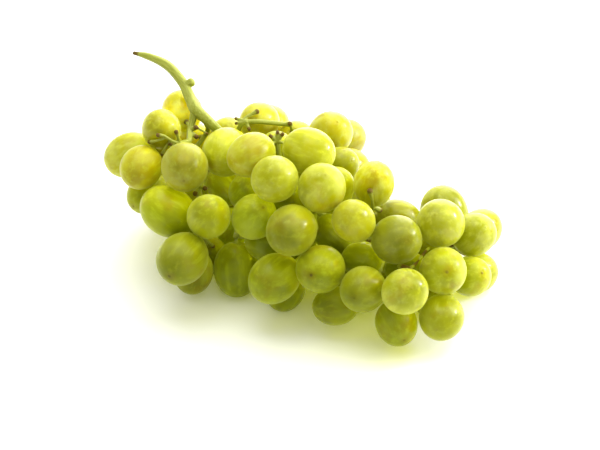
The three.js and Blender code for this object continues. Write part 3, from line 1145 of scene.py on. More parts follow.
    def ripeness(self, index: int, random: np.random.Generator) -> float:
        """How yellow a berry is: its own ripeness, and a painted glow of backlight on shown ones at
        the back that are open to the light.

        Args:
            index: its number in the plan.
            random: the berry's random numbers.

        Returns:
            From 0, green, to 1, yellow, and over 1 where it turns golden.
        """
        berry = self.plan.berries[index]
        near = float(self.plan.plane.measure(berry.centre)[2])
        behind = float(np.clip((-near - self.golden_from) / self.golden_reach, 0, 1))
        # Painted glow: shown berries at the back that are open to the light turn more golden,
        # standing in for light passing through them.
        golden_and_painted_glow = self.golden_and_painted_glow * behind * self.light_openness[index] if berry.shown else 0.0
        own = random.normal(self.spray_of(index).ripeness, self.ripeness_range)
        return float(np.clip(own + golden_and_painted_glow, 0, self.ripest))

    def spray_of(self, index: int) -> SprayPlan:
        """The spray that a berry belongs to."""
        name = self.plan.berries[index].spray
        return next(spray for spray in self.plan.shape.sprays if spray.name == name)

    def lightness(self, index: int) -> float:
        """How light a berry is beside the rest of its spray: partly its own tone, partly painted
        light and shade.

        Args:
            index: its number in the plan.

        Returns:
            Its share of the usual lightness.
        """
        spray = self.spray_of(index)
        before = sum(berry.spray == spray.name for berry in self.plan.berries[:index])
        return spray.lightness.get(before, 1.0)

    def build(self, spray: str) -> Surface:
        """Builds all the berries of a spray.

        Args:
            spray: its name.

        Returns:
            Their common surface.
        """
        surface = Surface()
        for index, berry in enumerate(self.plan.berries):
            if berry.spray == spray:
                points, faces, values = self.body(index)
                surface.add(points, faces, **values)
        return surface


def smooth_path(points: Array, radii: Array, step: float) -> tuple[Array, Array]:
    """A smooth curve through points, sampled evenly.

    Args:
        points: the points that it passes.
        radii: the radius at each.
        step: the distance between samples.

    Returns:
        The samples and their radii.
    """
    padded = np.vstack([2 * points[0] - points[1], points, 2 * points[-1] - points[-2]])
    out_points, out_radii = [], []
    for i in range(len(points) - 1):
        p0, p1, p2, p3 = padded[i : i + 4]
        count = max(2, int(np.linalg.norm(p2 - p1) / step))
        for t in np.arange(count) / count:
            bend = 2 * p1 + (p2 - p0) * t + (2 * p0 - 5 * p1 + 4 * p2 - p3) * t * t
            out_points.append((bend + (3 * p1 - p0 - 3 * p2 + p3) * t**3) / 2)
            out_radii.append(radii[i] + (radii[i + 1] - radii[i]) * (3 * t * t - 2 * t**3))
    out_points.append(points[-1])
    out_radii.append(radii[-1])
    return np.array(out_points), np.array(out_radii)


@dataclass(frozen=True)
class Stub:
    """A short bare stem, corky at its end, left where a berry came away or a twig ended.

    Brown says how brown its end is, and along how brown it is on the way there.
    """

    spray: str
    route: tuple[StemPlace, ...]
    brown: float = 1.0
    along: float = 0.45


STUBS: tuple[Stub, ...] = (
    Stub(
        "shoulder_spray",
        (
            (-57, 41.5, -8, 1.3),
            (-60.5, 41, 0, 0.95),
            (-64.5, 42.3, 5.5, 0.8),
            (-68, 44.6, 8.8, 0.7),
            (-71.3, 45, 9, 1.1),
        ),
    ),
    Stub("shoulder_spray", ((-67, 43.8, 8, 0.7), (-71, 42.3, 6.6, 0.65), (-75.3, 41.5, 2.8, 1.1))),
    Stub("shoulder_spray", ((-60.5, 41, 0, 0.9), (-61, 44, 3.6, 0.75), (-62, 46.8, 5.4, 1.15))),
    Stub("shoulder_spray", ((-62, 41.3, 2, 0.8), (-65, 40.6, 4.4, 1.1)), 0.8),
    Stub(
        "shoulder_spray",
        ((-64.5, 42.3, 5.5, 0.75), (-67.5, 38.5, 3, 0.7), (-69, 35.3, 0.5, 1)),
        0.8,
    ),
    Stub("shoulder_spray", ((-55, 47.5, -17, 1.1), (-51.8, 48.9, -15, 1.2))),
    Stub(
        "shoulder_spray",
        ((-51.8, 48.9, -15, 0.7), (-49, 47.3, -14.5, 0.6), (-46.2, 45.6, -14, 0.6)),
        0.7,
    ),
    Stub("shoulder_spray", ((-55, 46.5, -17, 1), (-51.6, 44, -14, 1.25))),
    Stub(
        "top_left_spray",
        (
            (-27, 51.5, -10, 1),
            (-27.7, 53.2, -10.5, 0.85),
            (-24.5, 55.3, -11, 0.75),
            (-21.3, 56.8, -11.8, 1.35),
        ),
    ),
    Stub("top_left_spray", ((-27.5, 52, -10, 0.9), (-32.3, 53.3, -11, 0.85)), 0.8),
    Stub("top_left_spray", ((-27.5, 51.5, -10, 0.9), (-32.2, 50.8, -10, 0.8)), 0.8),
    Stub("top_left_spray", ((-27, 51.5, -10, 1), (-25.3, 47.6, -9.5, 0.9))),
    Stub("top_left_spray", ((-7, 50.3, -15.5, 1), (-4.8, 50.8, -13, 1.2)), 0.9),
    Stub("top_middle_spray", ((-11.5, 42, 6, 1.4), (-15, 44.6, 8, 1))),
    Stub("top_middle_spray", ((-11.5, 42, 6, 1.4), (-11.2, 46.8, 8, 0.9))),
    Stub("top_middle_spray", ((-11.5, 42.5, 6, 1.3), (-8.5, 45.6, 8, 1))),
    Stub(
        "top_right_spray",
        ((35, 5.5, 4, 1), (36.3, 9, 17, 0.85), (36, 12.8, 24, 0.75), (34.9, 17.2, 27, 1.5)),
    ),
    Stub("top_right_spray", ((36.3, 9, 14, 0.8), (40, 7.4, 9, 1.35)), 1.0, 0.8),
    Stub("middle_spray", ((7, 5.5, 8, 0.9), (8.3, -0.5, 14, 0.8), (8, -3.4, 15, 1)), 0.9),
    Stub("left_low_spray", ((-50.5, 20, -3, 1.4), (-52.6, 15.4, 1.5, 1.2))),
    Stub("left_low_spray", ((-50.5, 20, -3, 1.4), (-47.2, 18.2, 3, 1.2))),
    Stub(
        "left_low_spray",
        ((-49, -4, 0, 0.8), (-46, -8, -8, 0.7), (-43.3, -10.8, -11.5, 1.1)),
        0.9,
    ),
    Stub("top_right_spray", ((35, 2, 4.5, 1), (34.3, -8.5, 6, 1.2)), 0.9),
    Stub(
        "low_right_spray",
        (
            (46, -22, 18, 0.9),
            (50.5, -20.5, 25, 1),
            (55.5, -21.3, 26.5, 0.9),
            (60, -16.8, 22, 0.75),
            (64, -12, 16.5, 0.75),
            (68, -10, 9, 0.8),
        ),
        1.0,
        0.95,
    ),
    Stub("tip_spray", ((77.5, -11, -8, 1.3), (75.7, -9.8, -3, 1.1)), 0.9),
    Stub(
        "tip_spray",
        ((77.5, -11, -8, 1.3), (79.6, -12.9, -3.5, 1.1), (82.6, -14.2, 0, 1.25)),
        1.0,
        0.8,
    ),
)


@dataclass(frozen=True)
class PedicelShape:
    """The shape of a pedicel, from its foot in a knot to the swelling that a berry sits on.

    Lengths are millimetres, and swells are shares of the pedicel's or the swelling's radius.
    """

    sunk: float = 0.9
    bow: float = 0.03
    uneven: Span = (0.85, 1.05)
    foot_swell: float = 1.35
    middle_swell: float = 0.95
    neck: float = 1.2
    neck_share: float = 0.15
    flare_swell: float = 1.35
    receptacle_width: float = 1.65
    receptacle_length: float = 1.5
    receptacle_below: float = 0.7
    receptacle_above: float = 0.2
    top_swell: float = 0.9


@dataclass(frozen=True)
class Cork:
    """Where stems turn brown: how far from a place, in millimetres, and how brown, up to 1."""

    receptacle_below: float = 0.6
    receptacle_reach: float = 2.4
    receptacle: Span = (0.6, 1.0)
    knot_reach: float = 2.6
    knot: Span = (0.25, 0.6)
    end_reach: float = 2.6
    along_reach: float = 2.2
    browner_reach: float = 2.4
    cut_reach: float = 5.0
    cut: float = 0.9
    knob_reach: float = 3.2
    knob: float = 0.35
    fork_reach: float = 3.4
    fork: float = 0.22
    fading: float = 2


@dataclass(frozen=True)
class KnobShape:
    """The knob beside the stalk: where it starts inside the stalk, and its radii."""

    inside: Place = (-58, 69.5, -23)
    neck_share: float = 0.3
    inside_radius: float = 2.2
    neck_radius: float = 2.3
    top_swell: float = 1.08


@dataclass
class StemMaker:
    """Grows stems as tubes, then melts them into one skin and marks their joints and ends.

    Lengths are millimetres. Ridge_height and the caps' pairs of width and height are shares of
    a tube's radius.
    """

    plan: BunchPlan
    step: float = 0.9
    sides: int = 16
    ridges: int = 5
    ridge_height: float = 0.05
    ridge_turn: float = 1.3
    caps: tuple[Span, ...] = ((0.87, 0.35), (0.5, 0.62))
    cap_height: float = 0.72
    voxel: float = 0.3
    smoothing: int = 4
    smoothing_share: float = 0.5
    root_swell: float = 1.5
    knot_width: float = 1.75
    knot_length: float = 0.25
    knot_taper: float = 0.8
    fibre_round: float = 2.0
    fibre_along: float = 0.12
    fibre_offset: float = 7.3
    seed: int = 29
    pedicels: PedicelShape = field(default_factory=PedicelShape)
    cork: Cork = field(default_factory=Cork)
    knob: KnobShape = field(default_factory=KnobShape)
    tubes: list[tuple[Array, Array]] = field(default_factory=list)
    marks: list[tuple[Array, float, float]] = field(default_factory=list)

    def tube(self, points: Sequence[Array], radii: Sequence[float]) -> None:
        """Adds a tube along a smooth curve.

        Args:
            points: the points that it passes.
            radii: the radius at each.
        """
        self.tubes.append(smooth_path(np.array(points), np.array(radii, dtype=float), self.step))

    def mark(self, point: Array, reach: float, strength: float) -> None:
        """Marks a place where the stem turns brown.

        Args:
            point: its middle.
            reach: how far the brown goes.
            strength: how brown it is, up to 1.
        """
        self.marks.append((point, reach, strength))

    def pedicel(self, berry: Berry, random: np.random.Generator) -> None:
        """Adds the thin stem of one berry, with the swelling that the berry sits on.

        Args:
            berry: the berry.
            random: the spray's random numbers.
        """
        shape, foot, axis = self.pedicels, berry.knot, berry.axis
        tip = berry.centre - axis * (berry.half_length - shape.sunk)
        length = float(np.linalg.norm(tip - foot))
        bow = side_directions(axis)[0] * random.uniform(-shape.bow, shape.bow) * length
        flare = tip - axis * shape.receptacle_length
        thin = self.plan.shape.pedicel * random.uniform(*shape.uneven)
        middle = foot + (flare - foot) * 0.5 + bow
        neck = flare - axis * min(shape.neck, length * shape.neck_share)
        wide = shape.receptacle_width * random.uniform(*shape.uneven)
        below, above = tip - axis * shape.receptacle_below, tip + axis * shape.receptacle_above
        swells = (shape.foot_swell, shape.middle_swell, 1, shape.flare_swell)
        self.tube(
            [foot, middle, neck, flare, below, above],
            [*(thin * swell for swell in swells), wide, wide * shape.top_swell],
        )
        cork = self.cork
        corky = tip - axis * cork.receptacle_below
        self.mark(corky, cork.receptacle_reach, random.uniform(*cork.receptacle))

    def grow_spray(self, spray: SprayPlan) -> None:
        """Adds a spray's twig, its knots, the pedicels of its berries and its stubs.

        Args:
            spray: the plan of the spray.
        """
        random = np.random.default_rng(self.seed + self.plan.shape.sprays.index(spray))
        route, twig = self.plan.twigs[spray.name], spray.twig
        self.tube(route, [twig * self.root_swell, *[twig] * (len(route) - 1)])
        for knot in route[1:]:
            half = random.normal(size=3) * self.knot_length
            taper = self.knot_width * self.knot_taper
            self.tube([knot - half, knot, knot + half], [taper, self.knot_width, taper])
            self.mark(knot, self.cork.knot_reach, random.uniform(*self.cork.knot))
        for berry in self.plan.berries:
            if berry.spray == spray.name:
                self.pedicel(berry, random)
        for stub in STUBS:
            if stub.spray == spray.name:
                self.stub(stub)

    def stub(self, stub: Stub) -> None:
        """Adds a short bare stem with a brown end.

        Args:
            stub: its route and how brown it is.
        """
        cork = self.cork
        points = [self.plan.plane.place(measured) for measured in stub.route]
        self.tube(points, [measured[3] for measured in stub.route])
        self.mark(points[-1], cork.end_reach, stub.brown)
        reach = cork.along_reach + cork.browner_reach * stub.along**3
        for before, after in zip(points[1:-1], points[2:]):
            self.mark((before + after) / 2, reach, stub.along)

    def grow_stalk(self) -> None:
        """Adds the cut stalk, its knob and the main stem that the sprays leave."""
        shape, place, cork = self.plan.shape, self.plan.plane.place, self.cork
        whole = (*shape.stalk, *shape.rachis)
        self.tube([place(measured) for measured in whole], [measured[3] for measured in whole])
        top, inside = place(shape.knob), place(self.knob.inside)
        neck = top - (top - inside) * self.knob.neck_share
        top_radius = shape.knob[3] * self.knob.top_swell
        radii = [self.knob.inside_radius, self.knob.neck_radius, top_radius]
        self.tube([inside, neck, top], radii)
        self.mark(place(shape.stalk[0]), cork.cut_reach, cork.cut)
        self.mark(top, cork.knob_reach, cork.knob)
        for spray in shape.sprays:
            self.mark(self.plan.twigs[spray.name][0], cork.fork_reach, cork.fork)

    def tube_body(self, points: Array, radii: Array, phase: float) -> tuple[Array, list[Array]]:
        """The points and faces of one ridged tube with rounded ends.

        Args:
            points: the samples along its middle.
            radii: the radius at each.
            phase: where round it its ridges start.

        Returns:
            Its points and its faces.
        """
        ahead = np.gradient(points, axis=0)
        ahead /= np.linalg.norm(ahead, axis=1)[:, None]
        first = side_directions(ahead[0])[0]
        turn = np.arange(self.sides) * 2 * math.pi / self.sides
        ridged = 1 + self.ridge_height * np.cos(self.ridges * turn + phase)
        rings = []
        for centre, radius, way in zip(points, radii, ahead):
            first = first - way * (first @ way)
            first /= np.linalg.norm(first)
            second = np.cross(way, first)
            spokes = first * np.cos(turn)[:, None] + second * np.sin(turn)[:, None]
            rings.append(centre + spokes * (radius * ridged)[:, None])
        caps, tips = [], []
        for end, toward in ((0, -1), (-1, 1)):
            middle, outwards = points[end], ahead[end] * toward * radii[end]
            spokes = rings[end] - middle
            caps.append([middle + spokes * flat + outwards * high for flat, high in self.caps])
            tips.append(middle + outwards * self.cap_height)
        rings = [*reversed(caps[0]), *rings, *caps[1]]
        return np.vstack([tips[0], *rings, tips[1]]), ring_faces(self.sides, len(rings))

    def build(self, name: str) -> bpy.types.Object:
        """Melts the tubes into one closed skin.

        Args:
            name: the name of the piece.

        Returns:
            The piece, with the values for its finish.
        """
        surface = Surface()
        for index, (points, radii) in enumerate(self.tubes):
            surface.add(*self.tube_body(points, radii, phase=index * self.ridge_turn))
        rough = surface.to_object(name)
        melt = rough.modifiers.new("melt", "REMESH")
        melt.mode = "VOXEL"
        melt.voxel_size = self.voxel * MM
        ease = rough.modifiers.new("ease", "SMOOTH")
        ease.factor = self.smoothing_share
        ease.iterations = self.smoothing
        graph = bpy.context.evaluated_depsgraph_get()
        skin = bpy.data.meshes.new_from_object(rough.evaluated_get(graph))
        skin.name = name
        old = rough.data
        rough.modifiers.clear()
        rough.data = skin
        bpy.data.meshes.remove(old)
        self.store_values(skin)
        skin.shade_smooth()
        return rough

    def store_values(self, skin: bpy.types.Mesh) -> None:
        """Stores how brown the stem is, and a place that runs along and round each tube.

        Args:
            skin: the melted mesh, which takes them.
        """
        points = np.empty(len(skin.vertices) * 3, dtype=np.float32)
        skin.vertices.foreach_get("co", points)
        points = points.reshape(-1, 3).astype(float) / MM
        brown = np.zeros(len(points))
        for middle, reach, strength in self.marks:
            apart = np.linalg.norm(points - middle, axis=1)
            faded = np.exp(-((apart / reach) ** 2) * self.cork.fading)
            brown = np.maximum(brown, strength * faded)
        nearest = np.full(len(points), np.inf)
        fibre = np.zeros((len(points), 3))
        for index, (path, radii) in enumerate(self.tubes):
            run = np.concatenate([[0], np.cumsum(np.linalg.norm(np.diff(path, axis=0), axis=1))])
            apart = np.linalg.norm(points[:, None] - path[None], axis=2) - radii
            closest = apart.argmin(axis=1)
            gap = apart[np.arange(len(points)), closest]
            mine = gap < nearest
            nearest = np.minimum(nearest, gap)
            offset = points - path[closest]
            length = np.linalg.norm(offset, axis=1)[:, None]
            place = offset / np.maximum(length, TINY) * self.fibre_round
            ahead = np.gradient(path, axis=0)
            ahead /= np.linalg.norm(ahead, axis=1)[:, None]
            way = ahead[closest]
            place -= way * (place * way).sum(1)[:, None]
            place += way * (run[closest] * self.fibre_along)[:, None] + index * self.fibre_offset
            fibre[mine] = place[mine]
        store(skin, "brown", brown)
        store(skin, "fibre_place", fibre)


# ---- finishes ---------------------------------------------------------------------------------

Colour = tuple[float, float, float, float]


def rgb(red: float, green: float, blue: float) -> Colour:
    """A colour from its three linear parts."""
    return (red, green, blue, 1.0)


@dataclass(frozen=True)
class Pattern:
    """A noise pattern, the span of its values over which a mark comes in, and how strongly."""

    scale: float
    detail: float
    roughness: float = 0.5
    span: Span = (0.0, 1.0)
    strength: float = 1.0


class Socket:
    """A value in a material's node tree, which arithmetic turns into Math nodes."""

    def __init__(self, graph: "Graph", socket: bpy.types.NodeSocket) -> None:
        """Wraps a node's output."""
        self.graph = graph
        self.socket = socket

    def math(self, operation: str, first: Any, second: Any) -> "Socket":
        """Adds a Math node."""
        return self.graph.node("ShaderNodeMath", {"operation": operation}, {0: first, 1: second})

    def __add__(self, other: Any) -> "Socket":
        """Adds."""
        return self.math("ADD", self, other)

    def __sub__(self, other: Any) -> "Socket":
        """Takes away."""
        return self.math("SUBTRACT", self, other)

    def __mul__(self, other: Any) -> "Socket":
        """Multiplies."""
        return self.math("MULTIPLY", self, other)

    def __pow__(self, other: Any) -> "Socket":
        """Raises to a power."""
        return self.math("POWER", self, other)

    def __rsub__(self, other: Any) -> "Socket":
        """Takes this away from another."""
        return self.math("SUBTRACT", other, self)

    def __rpow__(self, other: Any) -> "Socket":
        """Raises another to this power."""
        return self.math("POWER", other, self)

    __radd__ = __add__
    __rmul__ = __mul__

    def between(self, span: Span) -> "Socket":
        """Turns a span of values into a smooth step from 0 to 1.

        Args:
            span: the values at which the step starts and ends.

        Returns:
            The step.
        """
        return self.graph.node(
            "ShaderNodeMapRange",
            {"interpolation_type": "SMOOTHSTEP"},
            {"Value": self, "From Min": span[0], "From Max": span[1]},
        )

    def spread(self, low: float, high: float) -> "Socket":
        """Turns 0 into the low value and 1 into the high one."""
        return self * (high - low) + low


class Graph:
    """The node tree of one material."""

    def __init__(self, name: str) -> None:
        """Makes the material with an empty tree.

        Args:
            name: the material's name.
        """
        self.material = bpy.data.materials.new(name)
        self.material.use_nodes = True
        self.tree = self.material.node_tree
        self.tree.nodes.clear()

    def node(
        self,
        kind: str,
        settings: dict[str, Any] | None = None,
        inputs: dict[str | int, Any] | None = None,
        output: str | int = 0,
    ) -> Socket | None:
        """Adds a node.

        Args:
            kind: the node's type.
            settings: its settings, set first.
            inputs: values or links for its sockets.
            output: the socket that is wanted.

        Returns:
            That socket, or None for a node with no output.
        """
        made = self.tree.nodes.new(kind)
        for key, value in (settings or {}).items():
            setattr(made, key, value)
        for key, value in (inputs or {}).items():
            if isinstance(value, Socket):
                self.tree.links.new(value.socket, made.inputs[key])
            else:
                made.inputs[key].default_value = value
        return Socket(self, made.outputs[output]) if len(made.outputs) else None

    def value(self, name: str) -> Socket:
        """A number stored on the mesh."""
        return self.node("ShaderNodeAttribute", {"attribute_name": name}, output="Fac")

    def vector(self, name: str) -> Socket:
        """A vector stored on the mesh."""
        return self.node("ShaderNodeAttribute", {"attribute_name": name}, output="Vector")

    def noise(self, place: Socket, pattern: Pattern) -> Socket:
        """Smooth noise from 0 to 1.

        Args:
            place: the vector that it is laid over.
            pattern: its scale, detail and roughness.

        Returns:
            The noise.
        """
        inputs = {"Scale": pattern.scale, "Detail": pattern.detail, "Roughness": pattern.roughness}
        return self.node("ShaderNodeTexNoise", None, {"Vector": place, **inputs})

    def mix(self, share: Any, first: Any, second: Any, blend: str = "MIX") -> Socket:
        """Mixes two colours.

        Args:
            share: how much of the second there is.
            first: the first colour.
            second: the second.
            blend: how they are mixed.

        Returns:
            The mixed colour.
        """
        return self.node(
            "ShaderNodeMix",
            {"data_type": "RGBA", "blend_type": blend},
            {0: share, 6: first, 7: second},
            output=2,
        )

    def bump(self, strength: float, distance: float, height: Socket) -> Socket:
        """A normal that follows small heights.

        Args:
            strength: how strongly it follows them.
            distance: how high a height of 1 stands, in metres.
            height: the heights.

        Returns:
            The normal.
        """
        inputs = {"Strength": strength, "Distance": distance, "Height": height}
        return self.node("ShaderNodeBump", None, inputs)

    def finish(
        self, settings: dict[str, Any], lets_through: Colour | None = None
    ) -> bpy.types.Material:
        """Adds the shader and the output.

        Args:
            settings: values or links for the shader's sockets.
            lets_through: the tint of the lamps' light that passes through, if any does.

        Returns:
            The material.
        """
        shader = self.node("ShaderNodeBsdfPrincipled", None, settings)
        if lets_through is not None:
            lamps = self.node("ShaderNodeLightPath", output="Is Shadow Ray")
            clear = self.node("ShaderNodeBsdfTransparent", None, {"Color": lets_through})
            shader = self.node("ShaderNodeMixShader", None, {0: lamps, 1: shader, 2: clear})
        self.node("ShaderNodeOutputMaterial", None, {"Surface": shader})
        return self.material


@dataclass(frozen=True)
class GrapeSkin:
    """Thin, waxy skin over pale flesh, which lets coloured light through.

    Ends are spans of the way from a berry's stem, at 0, to its scar, at 1. A pair of numbers named
    for wax or for painted light says what there is with none of it and with all of it. The painted
    shade and painted light tones darken and lighten the colour where the painted light is low and
    high, and the bloom is partly painted sheen.
    """

    green: Colour = rgb(0.32, 0.345, 0.002)
    yellow: Colour = rgb(0.40, 0.385, 0.002)
    # Golden is the colour of riper berries and also the painted glow of backlight on some at the
    # back.
    golden_and_painted_glow: Colour = rgb(0.60, 0.545, 0.008)
    deep: Colour = rgb(0.19, 0.20, 0.001)
    amber: Colour = rgb(0.32, 0.25, 0.001)
    vein: Colour = rgb(0.47, 0.50, 0.02)
    # Pale wax bloom, partly the skin's own and partly painted sheen.
    bloom: Colour = rgb(0.52, 0.55, 0.13)
    scar: Colour = rgb(0.13, 0.085, 0.012)
    speck: Colour = rgb(0.22, 0.18, 0.01)
    painted_shade_tone: Colour = rgb(0.67, 0.72, 0.5)
    painted_light_tone: Colour = rgb(1.125, 1.095, 1.15)
    tone_curve: float = 0.5
    lets_through: Colour = rgb(0.79, 0.80, 0.02)
    clouds: Pattern = Pattern(0.07, 2, 0.5, (0.1, 0.95), 0.7)
    golden_span: Span = (0.75, 1.5)
    deeper: Pattern = Pattern(0.075, 3, 0.5, (0.44, 0.7), 0.58)
    patches: Pattern = Pattern(0.1, 4, 0.55, (0.64, 0.84), 0.58)
    patches_by_berry: float = 0.14
    patches_by_ripeness: float = 0.12
    veins: Pattern = Pattern(4.2, 4, 0.62, (0.48, 0.68), 0.6)
    waxy: Pattern = Pattern(0.08, 4, 0.55, (0.42, 0.62), 0.65)
    streaks: Pattern = Pattern(2.1, 3, 0.6, strength=0.35)
    wax_by_berry: Span = (0.25, 1.0)
    bloom_and_painted_sheen_in_light: Span = (0.2, 0.8)
    specks: Pattern = Pattern(1.1, 3, 0.6, (0.66, 0.76), 0.5)
    grain: Pattern = Pattern(0.8, 3, 0.6, strength=0.5)
    ragged: float = 0.06
    ring_ends: Span = (0.90, 0.975)
    ring_strength: float = 0.55
    scar_ends: Span = (0.972, 0.988)
    scar_ragged: float = 0.2
    scar_strength: Span = (0.05, 0.8)
    scar_roughness: float = 0.3
    stem_end: Span = (0.93, 0.99)
    stem_end_strength: float = 0.6
    roughness_with_wax: Span = (0.3, 0.5)
    coat_with_wax: Span = (0.45, 0.2)
    coat_in_painted_light: Span = (0.3, 1.0)
    vein_height: float = 0.12
    speck_depth: float = 0.2
    bump_strength: float = 0.25
    bump_height: float = 0.00012

    def material(self) -> bpy.types.Material:
        """Builds the material.

        Returns:
            The material.
        """
        graph = Graph(Slot.SKIN.value)
        place, vein_place = graph.vector("skin_place"), graph.vector("vein_place")
        to_scar, ripeness, wax, blush, scarred, exposed, lightness = (
            graph.value(key)
            for key in ("to_scar", "ripeness", "wax", "blush", "scarred", "exposed", "lightness")
        )
        clouds = (graph.noise(place, self.clouds) - 0.5) * self.clouds.strength
        yellowed = (ripeness + clouds).between(self.clouds.span)
        colour = graph.mix(yellowed, self.green, self.yellow)
        # Golden colour: riper berries, and the painted glow of backlight on some at the back.
        colour = graph.mix(ripeness.between(self.golden_span), colour, self.golden_and_painted_glow)
        deeper = graph.noise(place, self.deeper).between(self.deeper.span)
        colour = graph.mix(deeper * self.deeper.strength, colour, self.deep)
        patches = graph.noise(place, self.patches)
        blushed = patches + blush * self.patches_by_berry + ripeness * self.patches_by_ripeness
        blushed = blushed.between(self.patches.span)
        colour = graph.mix(blushed * self.patches.strength, colour, self.amber)
        veins = graph.noise(vein_place, self.veins).between(self.veins.span)
        colour = graph.mix(veins * self.veins.strength, colour, self.vein)
        streaks = graph.noise(vein_place, self.streaks) * self.streaks.strength
        waxy = graph.noise(place, self.waxy) * self.waxy.strength + streaks
        waxy = waxy.between(self.waxy.span) * wax.spread(*self.wax_by_berry)
        # Pale wax bloom, partly the skin's own and partly painted sheen: it grows with the painted
        # light.
        colour = graph.mix(waxy * exposed.spread(*self.bloom_and_painted_sheen_in_light), colour, self.bloom)
        specks = graph.noise(place, self.specks).between(self.specks.span)
        colour = graph.mix(specks * self.specks.strength, colour, self.speck)
        ragged = (patches - 0.5) * self.ragged
        ring = (to_scar + ragged).between(self.ring_ends) * scarred
        colour = graph.mix(ring * self.ring_strength, colour, self.amber)
        scar = (to_scar + ragged * self.scar_ragged).between(self.scar_ends)
        colour = graph.mix(scar * scarred.spread(*self.scar_strength), colour, self.scar)
        stem_end = (1 - to_scar).between(self.stem_end)
        colour = graph.mix(stem_end * self.stem_end_strength, colour, self.deep)
        # Painted light and shade: the colour is darker where the painted light is low and lighter
        # where it is high.
        tone = graph.mix(exposed**self.tone_curve, self.painted_shade_tone, self.painted_light_tone)
        colour = graph.mix(1.0, colour, tone, "MULTIPLY")
        # Each berry's lightness, partly its own tone and partly painted light and shade, with
        # painted shade on the far side.
        colour = graph.mix(1.0, colour, lightness, "MULTIPLY")
        height = graph.noise(place, self.grain) * self.grain.strength + veins * self.vein_height
        height = height - specks * self.speck_depth
        return graph.finish(
            {
                "Base Color": colour,
                "Roughness": waxy.spread(*self.roughness_with_wax) + scar * self.scar_roughness,
                "Normal": graph.bump(self.bump_strength, self.bump_height, height),
                "Coat Weight": waxy.spread(*self.coat_with_wax) * exposed.spread(*self.coat_in_painted_light),
                "Coat Roughness": 0.09,
                "Coat IOR": 1.4,
                "IOR": 1.42,
                "Specular IOR Level": 0.12,
                "Sheen Weight": 0.2,
                "Sheen Roughness": 0.35,
                "Sheen Tint": rgb(0.9, 1.0, 0.3),
                "Subsurface Weight": 1.0,
                "Subsurface Radius": (1.0, 0.95, 0.1),
                "Subsurface Scale": 0.013,
                "Subsurface Anisotropy": 0.3,
            },
            self.lets_through,
        )


@dataclass(frozen=True)
class GreenStem:
    """Green stem with fine fibres along it, brown and corky at its joints and ends."""

    green: Colour = rgb(0.29, 0.32, 0.02)
    pale: Colour = rgb(0.42, 0.45, 0.07)
    brown: Colour = rgb(0.15, 0.09, 0.006)
    dark: Colour = rgb(0.045, 0.029, 0.002)
    streaks: Pattern = Pattern(1.7, 4, 0.6, (0.35, 0.7))
    cork: Pattern = Pattern(4.5, 4, 0.65, (0.3, 0.62), 0.5)
    dark_span: Span = (0.72, 1.05)
    dark_by_cork: float = 0.7
    dots: Pattern = Pattern(8.0, 2, 0.5, (0.66, 0.74), 0.45)
    roughness_when_brown: Span = (0.48, 0.78)
    streak_height: float = 0.7
    cork_height: Span = (0.2, 1.0)
    dot_height: float = 0.4
    bump_strength: float = 0.6
    bump_height: float = 0.00018

    def material(self) -> bpy.types.Material:
        """Builds the material.

        Returns:
            The material.
        """
        graph = Graph(Slot.STEM.value)
        fibre, brown = graph.vector("fibre_place"), graph.value("brown")
        streaks = graph.noise(fibre, self.streaks)
        colour = graph.mix(streaks.between(self.streaks.span), self.green, self.pale)
        cork = graph.noise(fibre, self.cork)
        browned = (brown + (cork - 0.5) * self.cork.strength).between(self.cork.span)
        colour = graph.mix(browned, colour, self.brown)
        darkened = (brown + (cork - 0.5) * self.dark_by_cork).between(self.dark_span)
        colour = graph.mix(darkened, colour, self.dark)
        dots = graph.noise(fibre, self.dots).between(self.dots.span)
        colour = graph.mix(dots * self.dots.strength, colour, self.brown)
        height = streaks * self.streak_height + cork * browned.spread(*self.cork_height)
        height = height + dots * self.dot_height
        return graph.finish(
            {
                "Base Color": colour,
                "Roughness": browned.spread(*self.roughness_when_brown),
                "Normal": graph.bump(self.bump_strength, self.bump_height, height),
                "IOR": 1.42,
                "Subsurface Weight": 0.35,
                "Subsurface Radius": (1.0, 0.9, 0.3),
                "Subsurface Scale": 0.0015,
            }
        )


# ---- the pieces -------------------------------------------------------------------------------


@dataclass
class Bunch:
    """The whole bunch: the stalk, and the stems and berries of each spray."""

    plan: BunchPlan
    finishes: dict[Slot, bpy.types.Material]
    stalk_voxel: float = 0.26

    def dress(self, piece: bpy.types.Object, node: str, slot: Slot) -> None:
        """Gives a piece its finish, puts it under the root body and hides the solid that it
        replaces.

        Args:
            piece: the piece.
            node: the solid that it replaces.
            slot: the record's slot that it takes its finish from.
        """
        piece.data.materials.clear()
        piece.data.materials.append(self.finishes[slot])
        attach(piece, "root")
        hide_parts(node)
        log.info("%s: %d faces", piece.name, len(piece.data.polygons))

    def build(self) -> None:
        """Builds every piece."""
        stalk = StemMaker(self.plan, voxel=self.stalk_voxel)
        stalk.grow_stalk()
        self.dress(stalk.build("stalk_and_main_stem"), "stalk", Slot.STEM)
        berries = BerryMaker(self.plan)
        for spray in self.plan.shape.sprays:
            stems = StemMaker(self.plan)
            stems.grow_spray(spray)
            self.dress(stems.build(f"{spray.name}_stems"), spray.name, Slot.STEM)
            piece = berries.build(spray.name).to_object(f"{spray.name}_berries")
            self.dress(piece, spray.name, Slot.SKIN)


# ---- the studio -------------------------------------------------------------------------------


@dataclass(frozen=True)
class Lamp:
    """A round soft light: the direction it comes from, as across, up and near, and its size.

    Lengths are metres, and power is watts.
    """

    name: str
    towards: Place
    distance: float
    size: float
    power: float


